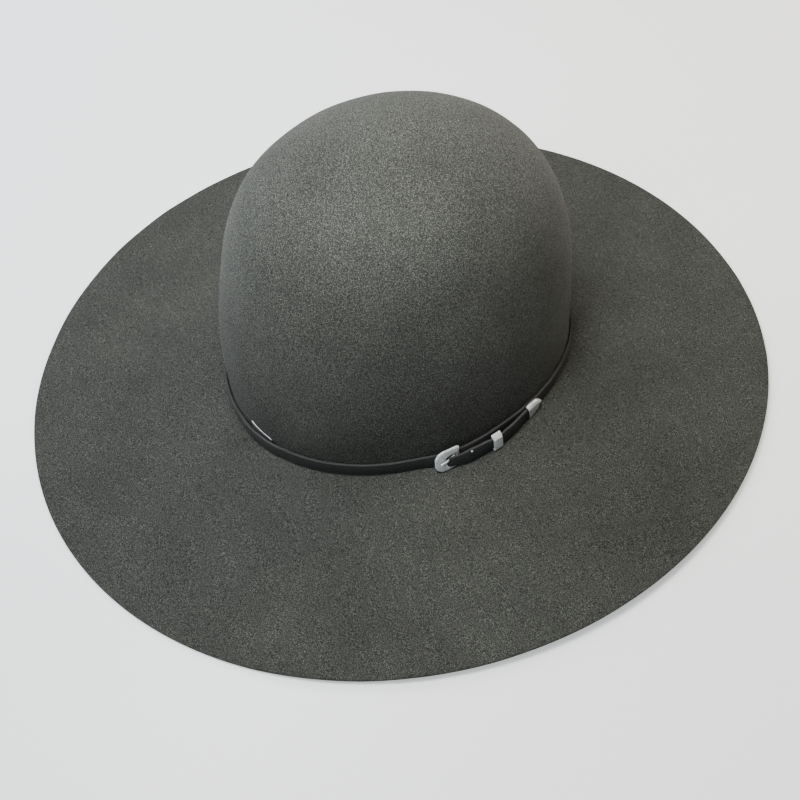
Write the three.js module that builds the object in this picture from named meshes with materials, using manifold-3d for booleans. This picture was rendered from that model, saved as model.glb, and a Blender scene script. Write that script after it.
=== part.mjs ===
// Open-crown western hat: a blocked felt body with a narrow felt strap and a small metal buckle set.
// Millimetres, +Z up, the floor at z = 0. The front of the hat faces -Y and the wearer's left is +X.

import * as THREE from 'three';
import { mergeVertices } from 'three/addons/utils/BufferGeometryUtils.js';
import Module from 'manifold-3d';

const wasm = await Module();
wasm.setup();

// Felt body
const feltThickness = 2.2;
const crownLength = 220;
const crownWidth = 182;
const crownHeight = 166.5;
const crownTaper = 0.095;
const domeSquareness = 4.54;
const shoulderRoundness = 1.98;
const brimWidth = 122.4;
const foldRadius = 3.5;
const edgeChamfer = 0.45;
const restWidth = 9;

// Warp of the brim: how its foot and its edge rise and fall round the hat
const edgeDrop = 2.9;
const edgeSideRise = 2.67;
const edgeTwist = -1.8;
const footBackRise = 0.87;
const footSideRise = 0.93;
const footTwist = -2.73;
const restFlattening = 0.8;

// Strap round the foot of the crown
const bandHeight = 9.6;
const bandThickness = 1.6;
const bandChamfer = 0.4;
const clearance = 0.3;
const overlapLength = 59;
const hookRunLength = 13;

// Buckle set
const buckleTurn = 266.2;
const buckleLength = 15.6;
const buckleHeight = 16;
const buckleThickness = 1.8;
const buckleCorner = 5.6;
const buckleMouth = 7;
const buckleTilt = 0.12;
const buckleLean = 0.14;
const buckleBevel = 0.4;
const mouthCorner = 1.5;
const armOuterTaper = 0.7;
const armInnerTaper = 1;
const armPastBar = 1;
const barRadius = 0.8;
const barDepth = 5.1;
const metalThickness = 0.6;
const tongueWidth = 1.9;
const tongueThickness = 0.9;
const tongueReach = 4.9;
const tongueBluntness = 0.6; // height of the tip's front as a share of its thickness
const keeperPlace = 25.2;
const keeperLength = 6;
const keeperFront = 0.8;
const keeperChamfer = 1.3;
const keeperInnerChamfer = 1.5; // as a share of the strap's chamfer
const capLength = 13.4;
const capOverhang = 5.2;
const capSlant = 2.4;
const capBevel = 0.4;
const capStraight = 0.45; // straight part and bend, as shares of the cap's length
const capBend = 0.3;
const capFullness = 0.55; // roundness of the point, as a share of half the cap's width
const pinPlace = 8.1;
const pinRadius = 0.62;
const pinInset = 1.6; // distance from the strap's edge, in radii

// Thin plate tucked behind the strap near the front
const plateTurn = 200.2;
const plateLength = 17.2;
const plateHeight = 8;
const plateTuck = 3;
const plateThickness = 0.5;
const plateRoom = 1.5; // gaps beside the plate, in clearances

// How finely the faceted solids are drawn
const columns = 64;
const crownRings = 16;
const ringAboveStrap = 1;
const lastRingGap = 0.4; // how much the step to the apex is shorter than the others
const weldDistance = 1e-4;
const brimRings = 6;
const strapStep = 8.5;
const barSides = 10;
const pinSides = 10;

// Shape of the front wall. Heights and reaches are shares of the crown's height,
// depths are shares of its length, and a negative depth is a hollow.
const frontForms = [
  { height: 0, reach: 0.03, depth: 0.0064 },
  { height: 0.23, reach: 0.13, depth: 0.0051 },
  { height: 0.57, reach: 0.21, depth: -0.0138 },
];

// Way of the strap from the hook round the bar back to the crown. Along is a share of the hook's run,
// out goes from 0 under the bar to 1 on the crown.
const hookRun = [
  { along: 0.3, out: 0.3, lift: 0.8, lean: 0.7 },
  { along: 0.65, out: 0.85, lift: 0.35, lean: 0.25 },
];

// Way of the strap before the bar, seen from above. Along is a share of the buckle's length,
// out goes from 0 on the crown to 1 over the bar, lift and lean from 0 to their full values.
const approach = [
  { along: -1.75, out: 0, lift: 0, lean: 0 },
  { along: -1.35, out: 0.05, lift: 0, lean: 0 },
  { along: -1.03, out: 0.18, lift: 0.1, lean: 0.3 },
  { along: -0.77, out: 0.29, lift: 0.38, lean: 0.7 },
  { along: -0.58, out: 0.35, lift: 0.8, lean: 1 },
  { along: -0.44, out: 0.43, lift: 1, lean: 1 },
  { along: -0.27, out: 0.76, lift: 0.96, lean: 1 },
  { along: -0.13, out: 0.97, lift: 0.88, lean: 1 },
];

// Way of the strap after the bar. Along is a share of the overlap's length,
// out goes from 0 on the first layer to 1 at the height of the bar.
const overlap = [
  { along: 0, out: 1, lift: 0.74, lean: 1 },
  { along: 0.035, out: 1.06, lift: 0.62, lean: 1 },
  { along: 0.08, out: 1.1, lift: 0.12, lean: 1 },
  { along: 0.2, out: 1.07, lift: 0, lean: 0.7 },
  { along: 0.34, out: 1.05, lift: 0, lean: 0.45 },
  { along: 0.47, out: 0.99, lift: 0, lean: 0.45 },
  { along: 0.6, out: 0.86, lift: 0, lean: 0.45 },
  { along: 0.71, out: 0.63, lift: 0, lean: 0.35 },
  { along: 0.83, out: 0.32, lift: 0, lean: 0.15 },
  { along: 0.91, out: 0.18, lift: 0, lean: 0 },
  { along: 1, out: 0.12, lift: 0, lean: 0 },
];

// Top of the small plate: along is a share of its length, rise of its height.
const plateTop = [
  { along: -0.5, rise: 0.98 },
  { along: -0.25, rise: 1.02 },
  { along: 0, rise: 1.05 },
  { along: 0.28, rise: 0.97 },
  { along: 0.5, rise: 0.5 },
];

const radians = THREE.MathUtils.degToRad;
const fullTurn = 360;
const quarter = Math.PI / 2;
const halfLength = crownLength / 2;
const halfWidth = crownWidth / 2;
const lerp = THREE.MathUtils.lerp;

// A turn of 0 is the back of the hat, 90 the wearer's right, 180 the front and 270 the left.
function outwardAt(turn) {
  const t = radians(turn);
  return new THREE.Vector3(-halfLength * Math.sin(t), halfWidth * Math.cos(t), 0).normalize();
}

function footHeight(turn) {
  const t = radians(turn);
  return footBackRise * Math.cos(t) - footSideRise * Math.cos(2 * t) + footTwist * Math.sin(2 * t);
}

function edgeHeight(turn) {
  const t = radians(turn);
  return -edgeDrop - edgeSideRise * Math.cos(2 * t) + edgeTwist * Math.sin(2 * t);
}

const lowestEdge = -edgeDrop - Math.hypot(edgeSideRise, edgeTwist);
const floorLevel = lowestEdge - feltThickness + restFlattening;

function frontForm(turn, share) {
  const front = ((1 - Math.cos(radians(turn))) / 2) ** 1.5;
  let depth = 0;
  for (const form of frontForms) {
    depth += form.depth * crownLength * Math.exp(-(((share - form.height) / form.reach) ** 2));
  }
  return front * depth * (1 - share ** domeSquareness);
}

// Outside of the crown, at a height given as a share of the crown's height.
function crownPoint(turn, share) {
  const t = radians(turn);
  const dome = Math.max(0, 1 - share ** domeSquareness) ** (1 / shoulderRoundness);
  const section = dome * (1 - crownTaper * share);
  const x = -halfWidth * section * Math.sin(t);
  const y = halfLength * section * Math.cos(t);
  const z = share * crownHeight + footHeight(turn) * (1 - share) ** 2 - floorLevel;
  return new THREE.Vector3(x, y, z).addScaledVector(outwardAt(turn), frontForm(turn, share));
}

// Upper face of the brim, from share 0 at the crown's foot to 1 at its edge.
function brimPoint(turn, share, inset = 0) {
  const flare = frontForm(turn, 0) * Math.min(share, 1);
  const point = crownPoint(turn, 0).addScaledVector(outwardAt(turn), share * brimWidth - inset - flare);
  point.z = lerp(footHeight(turn), edgeHeight(turn), share) - floorLevel;
  return point;
}

// Heights of the crown's rings: two beside the strap, then evenly spaced along the profile.
function crownShares() {
  const steps = 600;
  const meanRadius = (halfLength + halfWidth) / 2;
  const start = (bandHeight + ringAboveStrap) / crownHeight;
  const samples = [];
  let length = 0;
  let before = null;
  for (let i = 0; i <= steps; i++) {
    const share = start + (1 - start) * Math.sin((i / steps) * quarter);
    const radius = meanRadius * Math.max(0, 1 - share ** domeSquareness) ** (1 / shoulderRoundness);
    const here = new THREE.Vector2(radius, share * crownHeight);
    length += before ? here.distanceTo(before) : 0;
    samples.push({ share, length });
    before = here;
  }
  const shares = [0, start / 2];
  for (let ring = 0; ring < crownRings; ring++) {
    const wanted = (length * ring) / (crownRings - lastRingGap);
    shares.push(samples.find((sample) => sample.length >= wanted).share);
  }
  return shares;
}

function ringOf(pointAt) {
  const ring = [];
  for (let i = 0; i < columns; i++) {
    ring.push(pointAt((fullTurn * i) / columns));
  }
  return ring;
}

// Rings joined in order, closed by one point at each end.
function loft(startPole, rings, endPole) {
  const size = rings[0].length;
  const vertices = [startPole, ...rings.flat(), endPole];
  const index = [];
  const last = vertices.length - 1;
  for (let i = 0; i < size; i++) {
    const next = (i + 1) % size;
    index.push(0, 1 + i, 1 + next);
    for (let r = 0; r < rings.length - 1; r++) {
      const upper = 1 + r * size;
      const lower = upper + size;
      index.push(upper + i, lower + i, lower + next);
      index.push(upper + i, lower + next, upper + next);
    }
    index.push(last - size + i, last, last - size + next);
  }
  return facingOut(geometryOf(vertices, index));
}

function geometryOf(vertices, index) {
  const geometry = new THREE.BufferGeometry();
  const numbers = vertices.flatMap((vertex) => vertex.toArray());
  geometry.setAttribute('position', new THREE.Float32BufferAttribute(numbers, 3));
  geometry.setIndex(index);
  return geometry;
}

// Turns the faces over when the enclosed volume comes out negative.
function facingOut(geometry) {
  const position = geometry.attributes.position;
  const index = geometry.index.array;
  const corners = [new THREE.Vector3(), new THREE.Vector3(), new THREE.Vector3()];
  let volume = 0;
  for (let i = 0; i < index.length; i += 3) {
    corners.forEach((corner, k) => corner.fromBufferAttribute(position, index[i + k]));
    volume += corners[0].dot(corners[1].clone().cross(corners[2]));
  }
  if (volume < 0) {
    for (let i = 0; i < index.length; i += 3) {
      [index[i + 1], index[i + 2]] = [index[i + 2], index[i + 1]];
    }
  }
  return geometry;
}

// Crown and brim as one felt wall, open below.
function feltBody() {
  const shares = crownShares();
  const outside = shares.map((share) => ringOf((turn) => crownPoint(turn, share)));
  const apex = new THREE.Vector3(0, 0, crownHeight - floorLevel);

  // The inside follows the outside at the thickness of the felt.
  const insideOf = (r) =>
    outside[r].map((point, i) => {
      const around = outside[r][(i + 1) % columns].clone().sub(outside[r][(i + columns - 1) % columns]);
      const above = r + 1 < outside.length ? outside[r + 1][i] : apex;
      const normal = around.cross(above.clone().sub(outside[r - 1][i])).normalize();
      return point.clone().addScaledVector(normal, -feltThickness);
    });

  const rings = outside.slice().reverse();
  for (let i = 1; i < brimRings; i++) {
    rings.push(ringOf((turn) => brimPoint(turn, i / brimRings)));
  }
  const under = (share, inset, drop) =>
    ringOf((turn) => {
      const point = brimPoint(turn, share, inset);
      point.z = Math.max(point.z - drop, feltThickness - drop);
      return point;
    });
  rings.push(ringOf((turn) => brimPoint(turn, 1, edgeChamfer)));
  rings.push(under(1, 0, edgeChamfer));
  rings.push(under(1, 0, feltThickness - edgeChamfer));
  rings.push(under(1, edgeChamfer, feltThickness));
  rings.push(under(1, restWidth, feltThickness));
  for (let i = brimRings - 1; i > 0; i--) {
    rings.push(under(i / brimRings, 0, feltThickness));
  }

  // The fold between crown and brim is rounded on the underside.
  for (const angle of [270, 225, 180]) {
    const out = foldRadius - feltThickness + foldRadius * Math.cos(radians(angle));
    const up = foldRadius - feltThickness + foldRadius * Math.sin(radians(angle));
    rings.push(under(0, -out, -up));
  }
  for (let r = 1; r < outside.length; r++) {
    rings.push(insideOf(r));
  }
  return loft(apex, rings, apex.clone().setZ(apex.z - feltThickness));
}

// Distance along the foot of the crown, measured from the buckle's bar towards the back.
const wayRound = [];
{
  const steps = 1440;
  let along = 0;
  let before = crownPoint(buckleTurn, 0);
  for (let i = 0; i <= steps; i++) {
    const turn = buckleTurn + (fullTurn * i) / steps;
    const here = crownPoint(turn, 0).addScaledVector(outwardAt(turn), barDepth);
    along += i ? Math.hypot(here.x - before.x, here.y - before.y) : 0;
    wayRound.push({ turn, along });
    before = here;
  }
}
const onceRound = wayRound.at(-1).along;

function turnAt(along) {
  const laps = Math.floor(along / onceRound);
  const rest = along - laps * onceRound;
  const high = Math.max(1, wayRound.findIndex((step) => step.along >= rest));
  const [a, b] = [wayRound[high - 1], wayRound[high]];
  return lerp(a.turn, b.turn, (rest - a.along) / (b.along - a.along)) + fullTurn * laps;
}

// A point beside the crown: along its foot, out from its wall and up from its foot.
function beside(along, out, up) {
  const turn = turnAt(along);
  return crownPoint(turn, Math.max(0, up) / crownHeight).addScaledVector(outwardAt(turn), out);
}

// Depths of the strap's middle: on the crown, on its own first layer, round and over the bar.
const firstLayer = clearance + bandThickness / 2;
const secondLayer = firstLayer + bandThickness + clearance;
const overBar = barDepth + barRadius + clearance + bandThickness / 2;
const hookRadius = barRadius + clearance + bandThickness / 2;
const liftAtCap = clearance + metalThickness;
const armWidth = (buckleHeight - bandHeight) / 2 - clearance;
const liftAtBuckle = armWidth + clearance;

function station(along, out, lift, lean) {
  return { along, out, bottom: clearance + lift, lean: lean * buckleLean };
}

function smoothWay(points, stepsEach) {
  const corners = points.map((point) => new THREE.Vector3(point.along, point.out, 0));
  const curve = new THREE.CatmullRomCurve3(corners, false, 'centripetal');
  const stations = [];
  const count = points.length - 1;
  for (let i = 0; i <= count * stepsEach; i++) {
    const k = Math.min(Math.floor(i / stepsEach), count - 1);
    const part = i / stepsEach - k;
    const place = curve.getPoint(i / (count * stepsEach));
    const bottom = lerp(points[k].bottom, points[k + 1].bottom, part);
    const lean = lerp(points[k].lean, points[k + 1].lean, part);
    stations.push({ along: place.x, out: place.y, bottom, lean });
  }
  return stations;
}

const approachWay = approach.map((row) =>
  station(
    onceRound + row.along * buckleLength,
    lerp(firstLayer, overBar, row.out),
    row.lift * liftAtBuckle,
    row.lean,
  ),
);
const overlapWay = overlap.map((row) =>
  station(
    onceRound + row.along * overlapLength,
    lerp(secondLayer, overBar, row.out),
    lerp(liftAtCap, liftAtBuckle, row.lift),
    row.lean,
  ),
);
const freeWay = smoothWay([...approachWay, ...overlapWay], 2);

// The strap's middle on the overlap, at a distance after the bar.
function overlapAt(along) {
  const wanted = onceRound + along;
  const found = freeWay.findIndex((step) => step.along >= wanted && step.along > onceRound);
  const high = Math.min(found, freeWay.length - 1);
  const [a, b] = [freeWay.at(high - 1), freeWay.at(high)];
  const part = (wanted - a.along) / (b.along - a.along);
  return {
    out: lerp(a.out, b.out, part),
    bottom: lerp(a.bottom, b.bottom, part),
    lean: lerp(a.lean, b.lean, part),
  };
}

// The strap stands off the crown where the small plate is tucked behind it.
const platePlace = wayRound.find((step) => step.turn >= plateTurn + fullTurn).along;

function standOff(along) {
  const past = Math.abs(along - platePlace) - plateLength / 2 - strapStep;
  return (plateThickness + clearance * plateRoom) * (1 - THREE.MathUtils.smoothstep(past, 0, strapStep));
}

// The strap starts hooked round the bar and runs once round the crown to the buckle.
function strapWay() {
  const way = [];
  for (const angle of [185, 215, 242, 270]) {
    const along = hookRadius * Math.cos(radians(angle));
    const out = barDepth + hookRadius * Math.sin(radians(angle));
    way.push(station(along, out, liftAtBuckle, 1));
  }
  const hookOut = barDepth - hookRadius;
  for (const row of hookRun) {
    const out = lerp(hookOut, firstLayer, row.out);
    way.push(station(row.along * hookRunLength, out, liftAtBuckle * row.lift, row.lean));
  }
  const last = approachWay[0].along;
  const count = Math.round((last - hookRunLength) / strapStep);
  for (let i = 0; i < count; i++) {
    const along = lerp(hookRunLength, last, i / count);
    way.push(station(along, firstLayer + standOff(along), 0, 0));
  }
  return [...way, ...freeWay];
}

// Section of the strap across its way, with chamfered corners.
const strapSection = [];
for (const [side, level] of [[1, 1], [-1, 1], [-1, -1], [1, -1]]) {
  const across = (side * bandThickness) / 2;
  const up = (level * bandHeight) / 2;
  const first = [across - side * bandChamfer, up];
  const second = [across, up - level * bandChamfer];
  strapSection.push(...(side === level ? [second, first] : [first, second]));
}

function strapRing(way, i) {
  const here = way[i];
  const before = way[Math.max(i - 1, 0)];
  const after = way[Math.min(i + 1, way.length - 1)];
  const run = new THREE.Vector2(after.along - before.along, after.out - before.out).normalize();
  return strapSection.map(([across, up]) => {
    const out = here.out + across * run.x - here.lean * up;
    const along = here.along - across * run.y;
    return beside(along, out, here.bottom + bandHeight / 2 + up);
  });
}

function toSolid(geometry) {
  const plain = geometry.clone();
  plain.deleteAttribute('normal');
  plain.deleteAttribute('uv');
  const merged = mergeVertices(plain, weldDistance);
  const mesh = new wasm.Mesh({
    numProp: 3,
    vertProperties: new Float32Array(merged.attributes.position.array),
    triVerts: new Uint32Array(merged.index.array),
  });
  return new wasm.Manifold(mesh);
}

function toGeometry(solid) {
  const mesh = solid.getMesh();
  const geometry = new THREE.BufferGeometry();
  geometry.setAttribute('position', new THREE.BufferAttribute(mesh.vertProperties, 3));
  geometry.setIndex(new THREE.BufferAttribute(mesh.triVerts, 1));
  return geometry;
}

// Carries a flat shape, drawn as along, up and out, onto the crown.
// Way gives the depth, level and lean that the shape's own origin follows.
function onCrown(geometry, wayAt) {
  const flat = geometry.index ? geometry : mergeFlat(geometry);
  const position = flat.attributes.position;
  const point = new THREE.Vector3();
  for (let i = 0; i < position.count; i++) {
    point.fromBufferAttribute(position, i);
    const way = wayAt(point.x);
    const placed = beside(point.x, way.out + point.z - way.lean * point.y, way.level + point.y);
    position.setXYZ(i, placed.x, placed.y, placed.z);
  }
  return facingOut(flat);
}

function mergeFlat(geometry) {
  geometry.deleteAttribute('normal');
  geometry.deleteAttribute('uv');
  return mergeVertices(geometry, weldDistance);
}

// A plate of an outline, centred in its thickness.
function plateOf(shape, thickness, bevel, curveSegments = 8) {
  const geometry = new THREE.ExtrudeGeometry(shape, {
    depth: thickness - 2 * bevel,
    bevelEnabled: bevel > 0,
    bevelThickness: bevel,
    bevelSize: bevel,
    bevelOffset: -bevel,
    bevelSegments: 1,
    curveSegments,
  });
  geometry.translate(0, 0, -thickness / 2 + bevel);
  return geometry;
}

// A box cut into steps along its length, so that it can follow the crown.
function boxBetween(low, high, steps = 1) {
  const size = new THREE.Vector3().subVectors(high, low);
  const geometry = new THREE.BoxGeometry(size.x, size.y, size.z, steps, 1, 1);
  geometry.translate((low.x + high.x) / 2, (low.y + high.y) / 2, (low.z + high.z) / 2);
  return geometry;
}

// Heights are drawn from the middle of the buckle.
const buckleMiddle = clearance + liftAtBuckle + bandHeight / 2;
const atBuckle = () => ({ out: barDepth, level: buckleMiddle, lean: buckleLean });
const atTiltedBuckle = (along) => ({ ...atBuckle(), out: barDepth - buckleTilt * along });

function middleOf(ring) {
  return ring.reduce((sum, p) => sum.add(p), new THREE.Vector3()).divideScalar(ring.length);
}

function hatBand() {
  const way = strapWay();
  const rings = way.map((_, i) => strapRing(way, i));
  const strap = toSolid(loft(middleOf(rings[0]), rings, middleOf(rings.at(-1))));
  const half = tongueWidth / 2 + clearance;
  const hole = boxBetween(
    new THREE.Vector3(-tongueReach, -half, -bandThickness),
    new THREE.Vector3(-barRadius, half, bandThickness * 3),
  );
  const slot = boxBetween(
    new THREE.Vector3(-hookRadius - bandThickness, -half, -hookRadius - bandThickness),
    new THREE.Vector3(hookRadius + bandThickness / 2, half, clearance),
  );
  const cutHole = toSolid(onCrown(hole, atBuckle));
  const cutSlot = toSolid(onCrown(slot, atBuckle));
  return toGeometry(strap.subtract(cutHole).subtract(cutSlot));
}

// Rounded frame, open towards the bar, which joins the ends of its two arms. Its outer end stands
// further out than the bar, and the arms get slimmer towards the bar.
function buckleFrame() {
  const half = buckleHeight / 2;
  const inner = half - armWidth;
  const armEnd = barRadius + armPastBar;
  const outerEnd = armEnd - buckleLength;
  const mouth = outerEnd + buckleMouth;
  const outerBend = outerEnd + buckleCorner;
  const innerBend = mouth + mouthCorner;
  const shape = new THREE.Shape();
  shape.moveTo(armEnd, half - armOuterTaper);
  shape.lineTo(outerBend, half);
  shape.absarc(outerBend, half - buckleCorner, buckleCorner, quarter, 2 * quarter, false);
  shape.absarc(outerBend, buckleCorner - half, buckleCorner, 2 * quarter, 3 * quarter, false);
  shape.lineTo(armEnd, armOuterTaper - half);
  shape.lineTo(armEnd, -inner - armInnerTaper);
  shape.lineTo(innerBend, -inner);
  shape.absarc(innerBend, mouthCorner - inner, mouthCorner, 3 * quarter, 2 * quarter, true);
  shape.absarc(innerBend, inner - mouthCorner, mouthCorner, 2 * quarter, quarter, true);
  shape.lineTo(armEnd, inner + armInnerTaper);
  const plate = toSolid(onCrown(plateOf(shape, buckleThickness, buckleBevel), atTiltedBuckle));
  const bar = new THREE.CylinderGeometry(barRadius, barRadius, buckleHeight - armWidth, barSides);
  return toGeometry(plate.add(toSolid(onCrown(bar, atBuckle))));
}

// Prong hooked round the bar from the inside, through the strap and onto the frame's outer end.
function buckleTongue() {
  const inner = barRadius + clearance;
  const outer = inner + tongueThickness;
  const mouth = barRadius + armPastBar - buckleLength + buckleMouth;
  const tip = mouth - tongueReach;
  const blunt = tongueThickness * tongueBluntness;
  const restAt = (along) => buckleThickness / 2 + clearance - buckleTilt * along;
  const shape = new THREE.Shape();
  shape.moveTo(inner, 0);
  shape.absarc(0, 0, inner, 0, 2 * quarter, true);
  shape.lineTo(-inner - clearance, inner);
  shape.lineTo(mouth + clearance, restAt(mouth) + tongueThickness);
  shape.lineTo(tip + blunt, restAt(tip) + tongueThickness);
  shape.lineTo(tip, restAt(tip) + blunt);
  shape.lineTo(tip, restAt(tip));
  shape.lineTo(mouth, restAt(mouth));
  shape.lineTo(-outer - clearance, inner / 2);
  shape.lineTo(-outer, 0);
  shape.absarc(0, 0, outer, 2 * quarter, 0, false);
  const geometry = plateOf(shape, tongueWidth, 0);
  geometry.rotateX(-quarter);
  geometry.scale(1, 1, -1);
  return onCrown(geometry, atBuckle);
}

// Loop of metal round the overlapping layer of the strap, bevelled along its front edges.
function keeperLoop() {
  const inside = {
    x: bandThickness / 2 + clearance,
    y: bandHeight / 2 + clearance,
    chamfer: bandChamfer * keeperInnerChamfer,
  };
  const outside = { x: inside.x + keeperFront, y: inside.y + metalThickness, chamfer: keeperChamfer };
  const back = -inside.x - metalThickness;
  const corners = (size, rear) => [
    [rear, size.y],
    [size.x - size.chamfer, size.y],
    [size.x, size.y - size.chamfer],
    [size.x, size.chamfer - size.y],
    [size.x - size.chamfer, -size.y],
    [rear, -size.y],
  ];
  const sections = [corners(outside, back), corners(inside, -inside.x)];
  const count = sections[0].length;
  const steps = 3;
  const vertices = [];
  for (let i = 0; i <= steps; i++) {
    const along = keeperPlace + keeperLength * (i / steps - 0.5);
    const way = overlapAt(along);
    const middle = way.bottom + bandHeight / 2;
    for (const [across, up] of sections.flat()) {
      vertices.push(beside(along, way.out + across - way.lean * up, middle + up));
    }
  }
  const index = [];
  const quad = (a, b, c, d) => index.push(a, b, c, a, c, d);
  for (let k = 0; k < count; k++) {
    const next = (k + 1) % count;
    for (let i = 0; i < steps; i++) {
      const near = 2 * count * i;
      const far = near + 2 * count;
      quad(near + k, far + k, far + next, near + next);
      quad(near + count + next, far + count + next, far + count + k, near + count + k);
    }
    const last = 2 * count * steps;
    quad(k, next, count + next, count + k);
    quad(last + next, last + k, last + count + k, last + count + next);
  }
  return facingOut(geometryOf(vertices, index));
}

// Blunt pointed cap over the strap's end, open at the back, with a slanting open edge.
function strapTip() {
  const half = bandHeight / 2 + clearance + metalThickness;
  const start = overlapLength + capOverhang - capLength;
  const end = overlapLength + capOverhang;
  const straight = start + capLength * capStraight;
  const bend = straight + capLength * capBend;
  const front = bandThickness / 2 + clearance + metalThickness;
  const back = -bandThickness / 2;
  const shape = new THREE.Shape();
  shape.moveTo(start + capSlant, -half);
  shape.lineTo(straight, -half);
  shape.bezierCurveTo(bend, -half, end, -half * capFullness, end, 0);
  shape.bezierCurveTo(end, half * capFullness, bend, half, straight, half);
  shape.lineTo(start, half);
  shape.quadraticCurveTo(start + capSlant * 0.8, half * 0.3, start + capSlant, -half);
  const block = plateOf(shape, front - back, capBevel, 5);
  block.translate(0, 0, (front + back) / 2);
  const capWay = (along) => {
    const way = overlapAt(Math.min(along, overlapLength));
    return { out: way.out, level: way.bottom + bandHeight / 2, lean: way.lean };
  };
  const hollow = boxBetween(
    new THREE.Vector3(start - capLength, -bandHeight / 2 - clearance, back - bandThickness),
    new THREE.Vector3(overlapLength + clearance, bandHeight / 2 + clearance, bandThickness / 2 + clearance),
    8,
  );
  return toGeometry(toSolid(onCrown(block, capWay)).subtract(toSolid(onCrown(hollow, capWay))));
}

// Small domed pin head on the face of the overlap, near its upper edge. Its rows go from the foot
// of the dome to its crown, as shares of the head's radius.
function strapPin() {
  const rows = [
    { radius: 1, height: 0 },
    { radius: 0.92, height: 0.35 },
    { radius: 0.6, height: 0.75 },
    { radius: 0, height: 0.9 },
  ];
  const way = overlapAt(pinPlace);
  const middle = bandHeight / 2 - pinRadius * pinInset;
  const pointAt = (angle, radius, height) => {
    const up = middle + pinRadius * radius * Math.sin(angle);
    const out = way.out + bandThickness / 2 + clearance + pinRadius * height - way.lean * up;
    return beside(pinPlace + pinRadius * radius * Math.cos(angle), out, way.bottom + bandHeight / 2 + up);
  };
  const dome = rows.slice(0, -1).map((row) =>
    Array.from({ length: pinSides }, (_, i) => pointAt((4 * quarter * i) / pinSides, row.radius, row.height)),
  );
  return loft(pointAt(0, 0, 0), dome, pointAt(0, 0, rows.at(-1).height));
}

// Bare metal plate between the strap and the crown. Only its upper part shows.
function pinPlate() {
  const level = clearance + bandHeight - plateTuck;
  const rings = plateTop.map((row) => {
    const along = platePlace + row.along * plateLength;
    const top = level + row.rise * plateHeight;
    const corners = [[0, level], [0, top], [plateThickness, top], [plateThickness, level]];
    return corners.map(([depth, up]) => beside(along, clearance + depth, up));
  });
  return loft(middleOf(rings[0]), rings, middleOf(rings.at(-1)));
}

const felt = { color: 0x4b4d49, roughness: 0.95, metalness: 0 };
const strapFelt = { color: 0x2f3131, roughness: 0.9, metalness: 0 };
const silver = { color: 0xc9cbcc, roughness: 0.3, metalness: 1 };

const hat = new THREE.Group();
const pieces = [
  ['felt_body', feltBody(), felt],
  ['hat_band', hatBand(), strapFelt],
  ['buckle_frame', buckleFrame(), silver],
  ['buckle_tongue', buckleTongue(), silver],
  ['keeper_loop', keeperLoop(), silver],
  ['strap_tip', strapTip(), silver],
  ['strap_pin', strapPin(), silver],
  ['pin_plate', pinPlate(), silver],
];
for (const [name, geometry, finish] of pieces) {
  const mesh = new THREE.Mesh(geometry, new THREE.MeshStandardMaterial(finish));
  mesh.name = name;
  hat.add(mesh);
}

export default hat;
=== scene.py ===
# Looks of an open-crown western hat: brushed fur felt, a cut felt strap and a small nickel buckle set.
# Lengths are in metres. The front of the hat faces -Y and the wearer's left is +X.

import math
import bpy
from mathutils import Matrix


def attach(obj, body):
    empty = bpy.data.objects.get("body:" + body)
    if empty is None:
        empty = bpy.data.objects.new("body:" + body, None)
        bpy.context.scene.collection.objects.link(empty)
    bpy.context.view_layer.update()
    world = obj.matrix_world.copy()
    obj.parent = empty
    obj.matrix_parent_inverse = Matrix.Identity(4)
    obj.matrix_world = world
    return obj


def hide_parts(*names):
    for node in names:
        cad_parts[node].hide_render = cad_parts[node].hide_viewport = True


bl_info = {
    "name": "Felt Hat",
    "version": (1, 0, 0),
    "blender": (4, 5, 0),
    "location": "3D View > Sidebar > Felt Hat",
    "description": "Builds a brushed felt hat with its strap, buckle set and stage",
    "category": "Add Mesh",
}

import bpy
import numpy as np
from bpy.props import FloatProperty, FloatVectorProperty, IntProperty, PointerProperty
from mathutils import Matrix, Vector

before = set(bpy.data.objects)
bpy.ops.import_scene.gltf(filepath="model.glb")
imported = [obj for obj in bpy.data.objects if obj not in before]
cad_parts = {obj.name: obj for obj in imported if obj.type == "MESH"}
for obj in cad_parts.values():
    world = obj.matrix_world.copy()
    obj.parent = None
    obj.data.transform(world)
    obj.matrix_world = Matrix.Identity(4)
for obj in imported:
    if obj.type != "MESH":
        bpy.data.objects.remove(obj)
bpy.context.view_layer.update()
MM = 0.001


def linear(code):
    """Turns an sRGB hex colour into the linear colour that nodes take."""
    shares = [int(code[i : i + 2], 16) / 255 for i in (1, 3, 5)]
    return [s / 12.92 if s <= 0.04045 else ((s + 0.055) / 1.055) ** 2.4 for s in shares]


def length(name, description, millimetres):
    return FloatProperty(name=name, description=description, default=millimetres * MM, unit="LENGTH")


def share(name, description, value):
    return FloatProperty(name=name, description=description, default=value, subtype="FACTOR")


def colour(name, description, code):
    return FloatVectorProperty(
        name=name, description=description, default=linear(code), size=3, subtype="COLOR", min=0, max=1
    )


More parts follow.
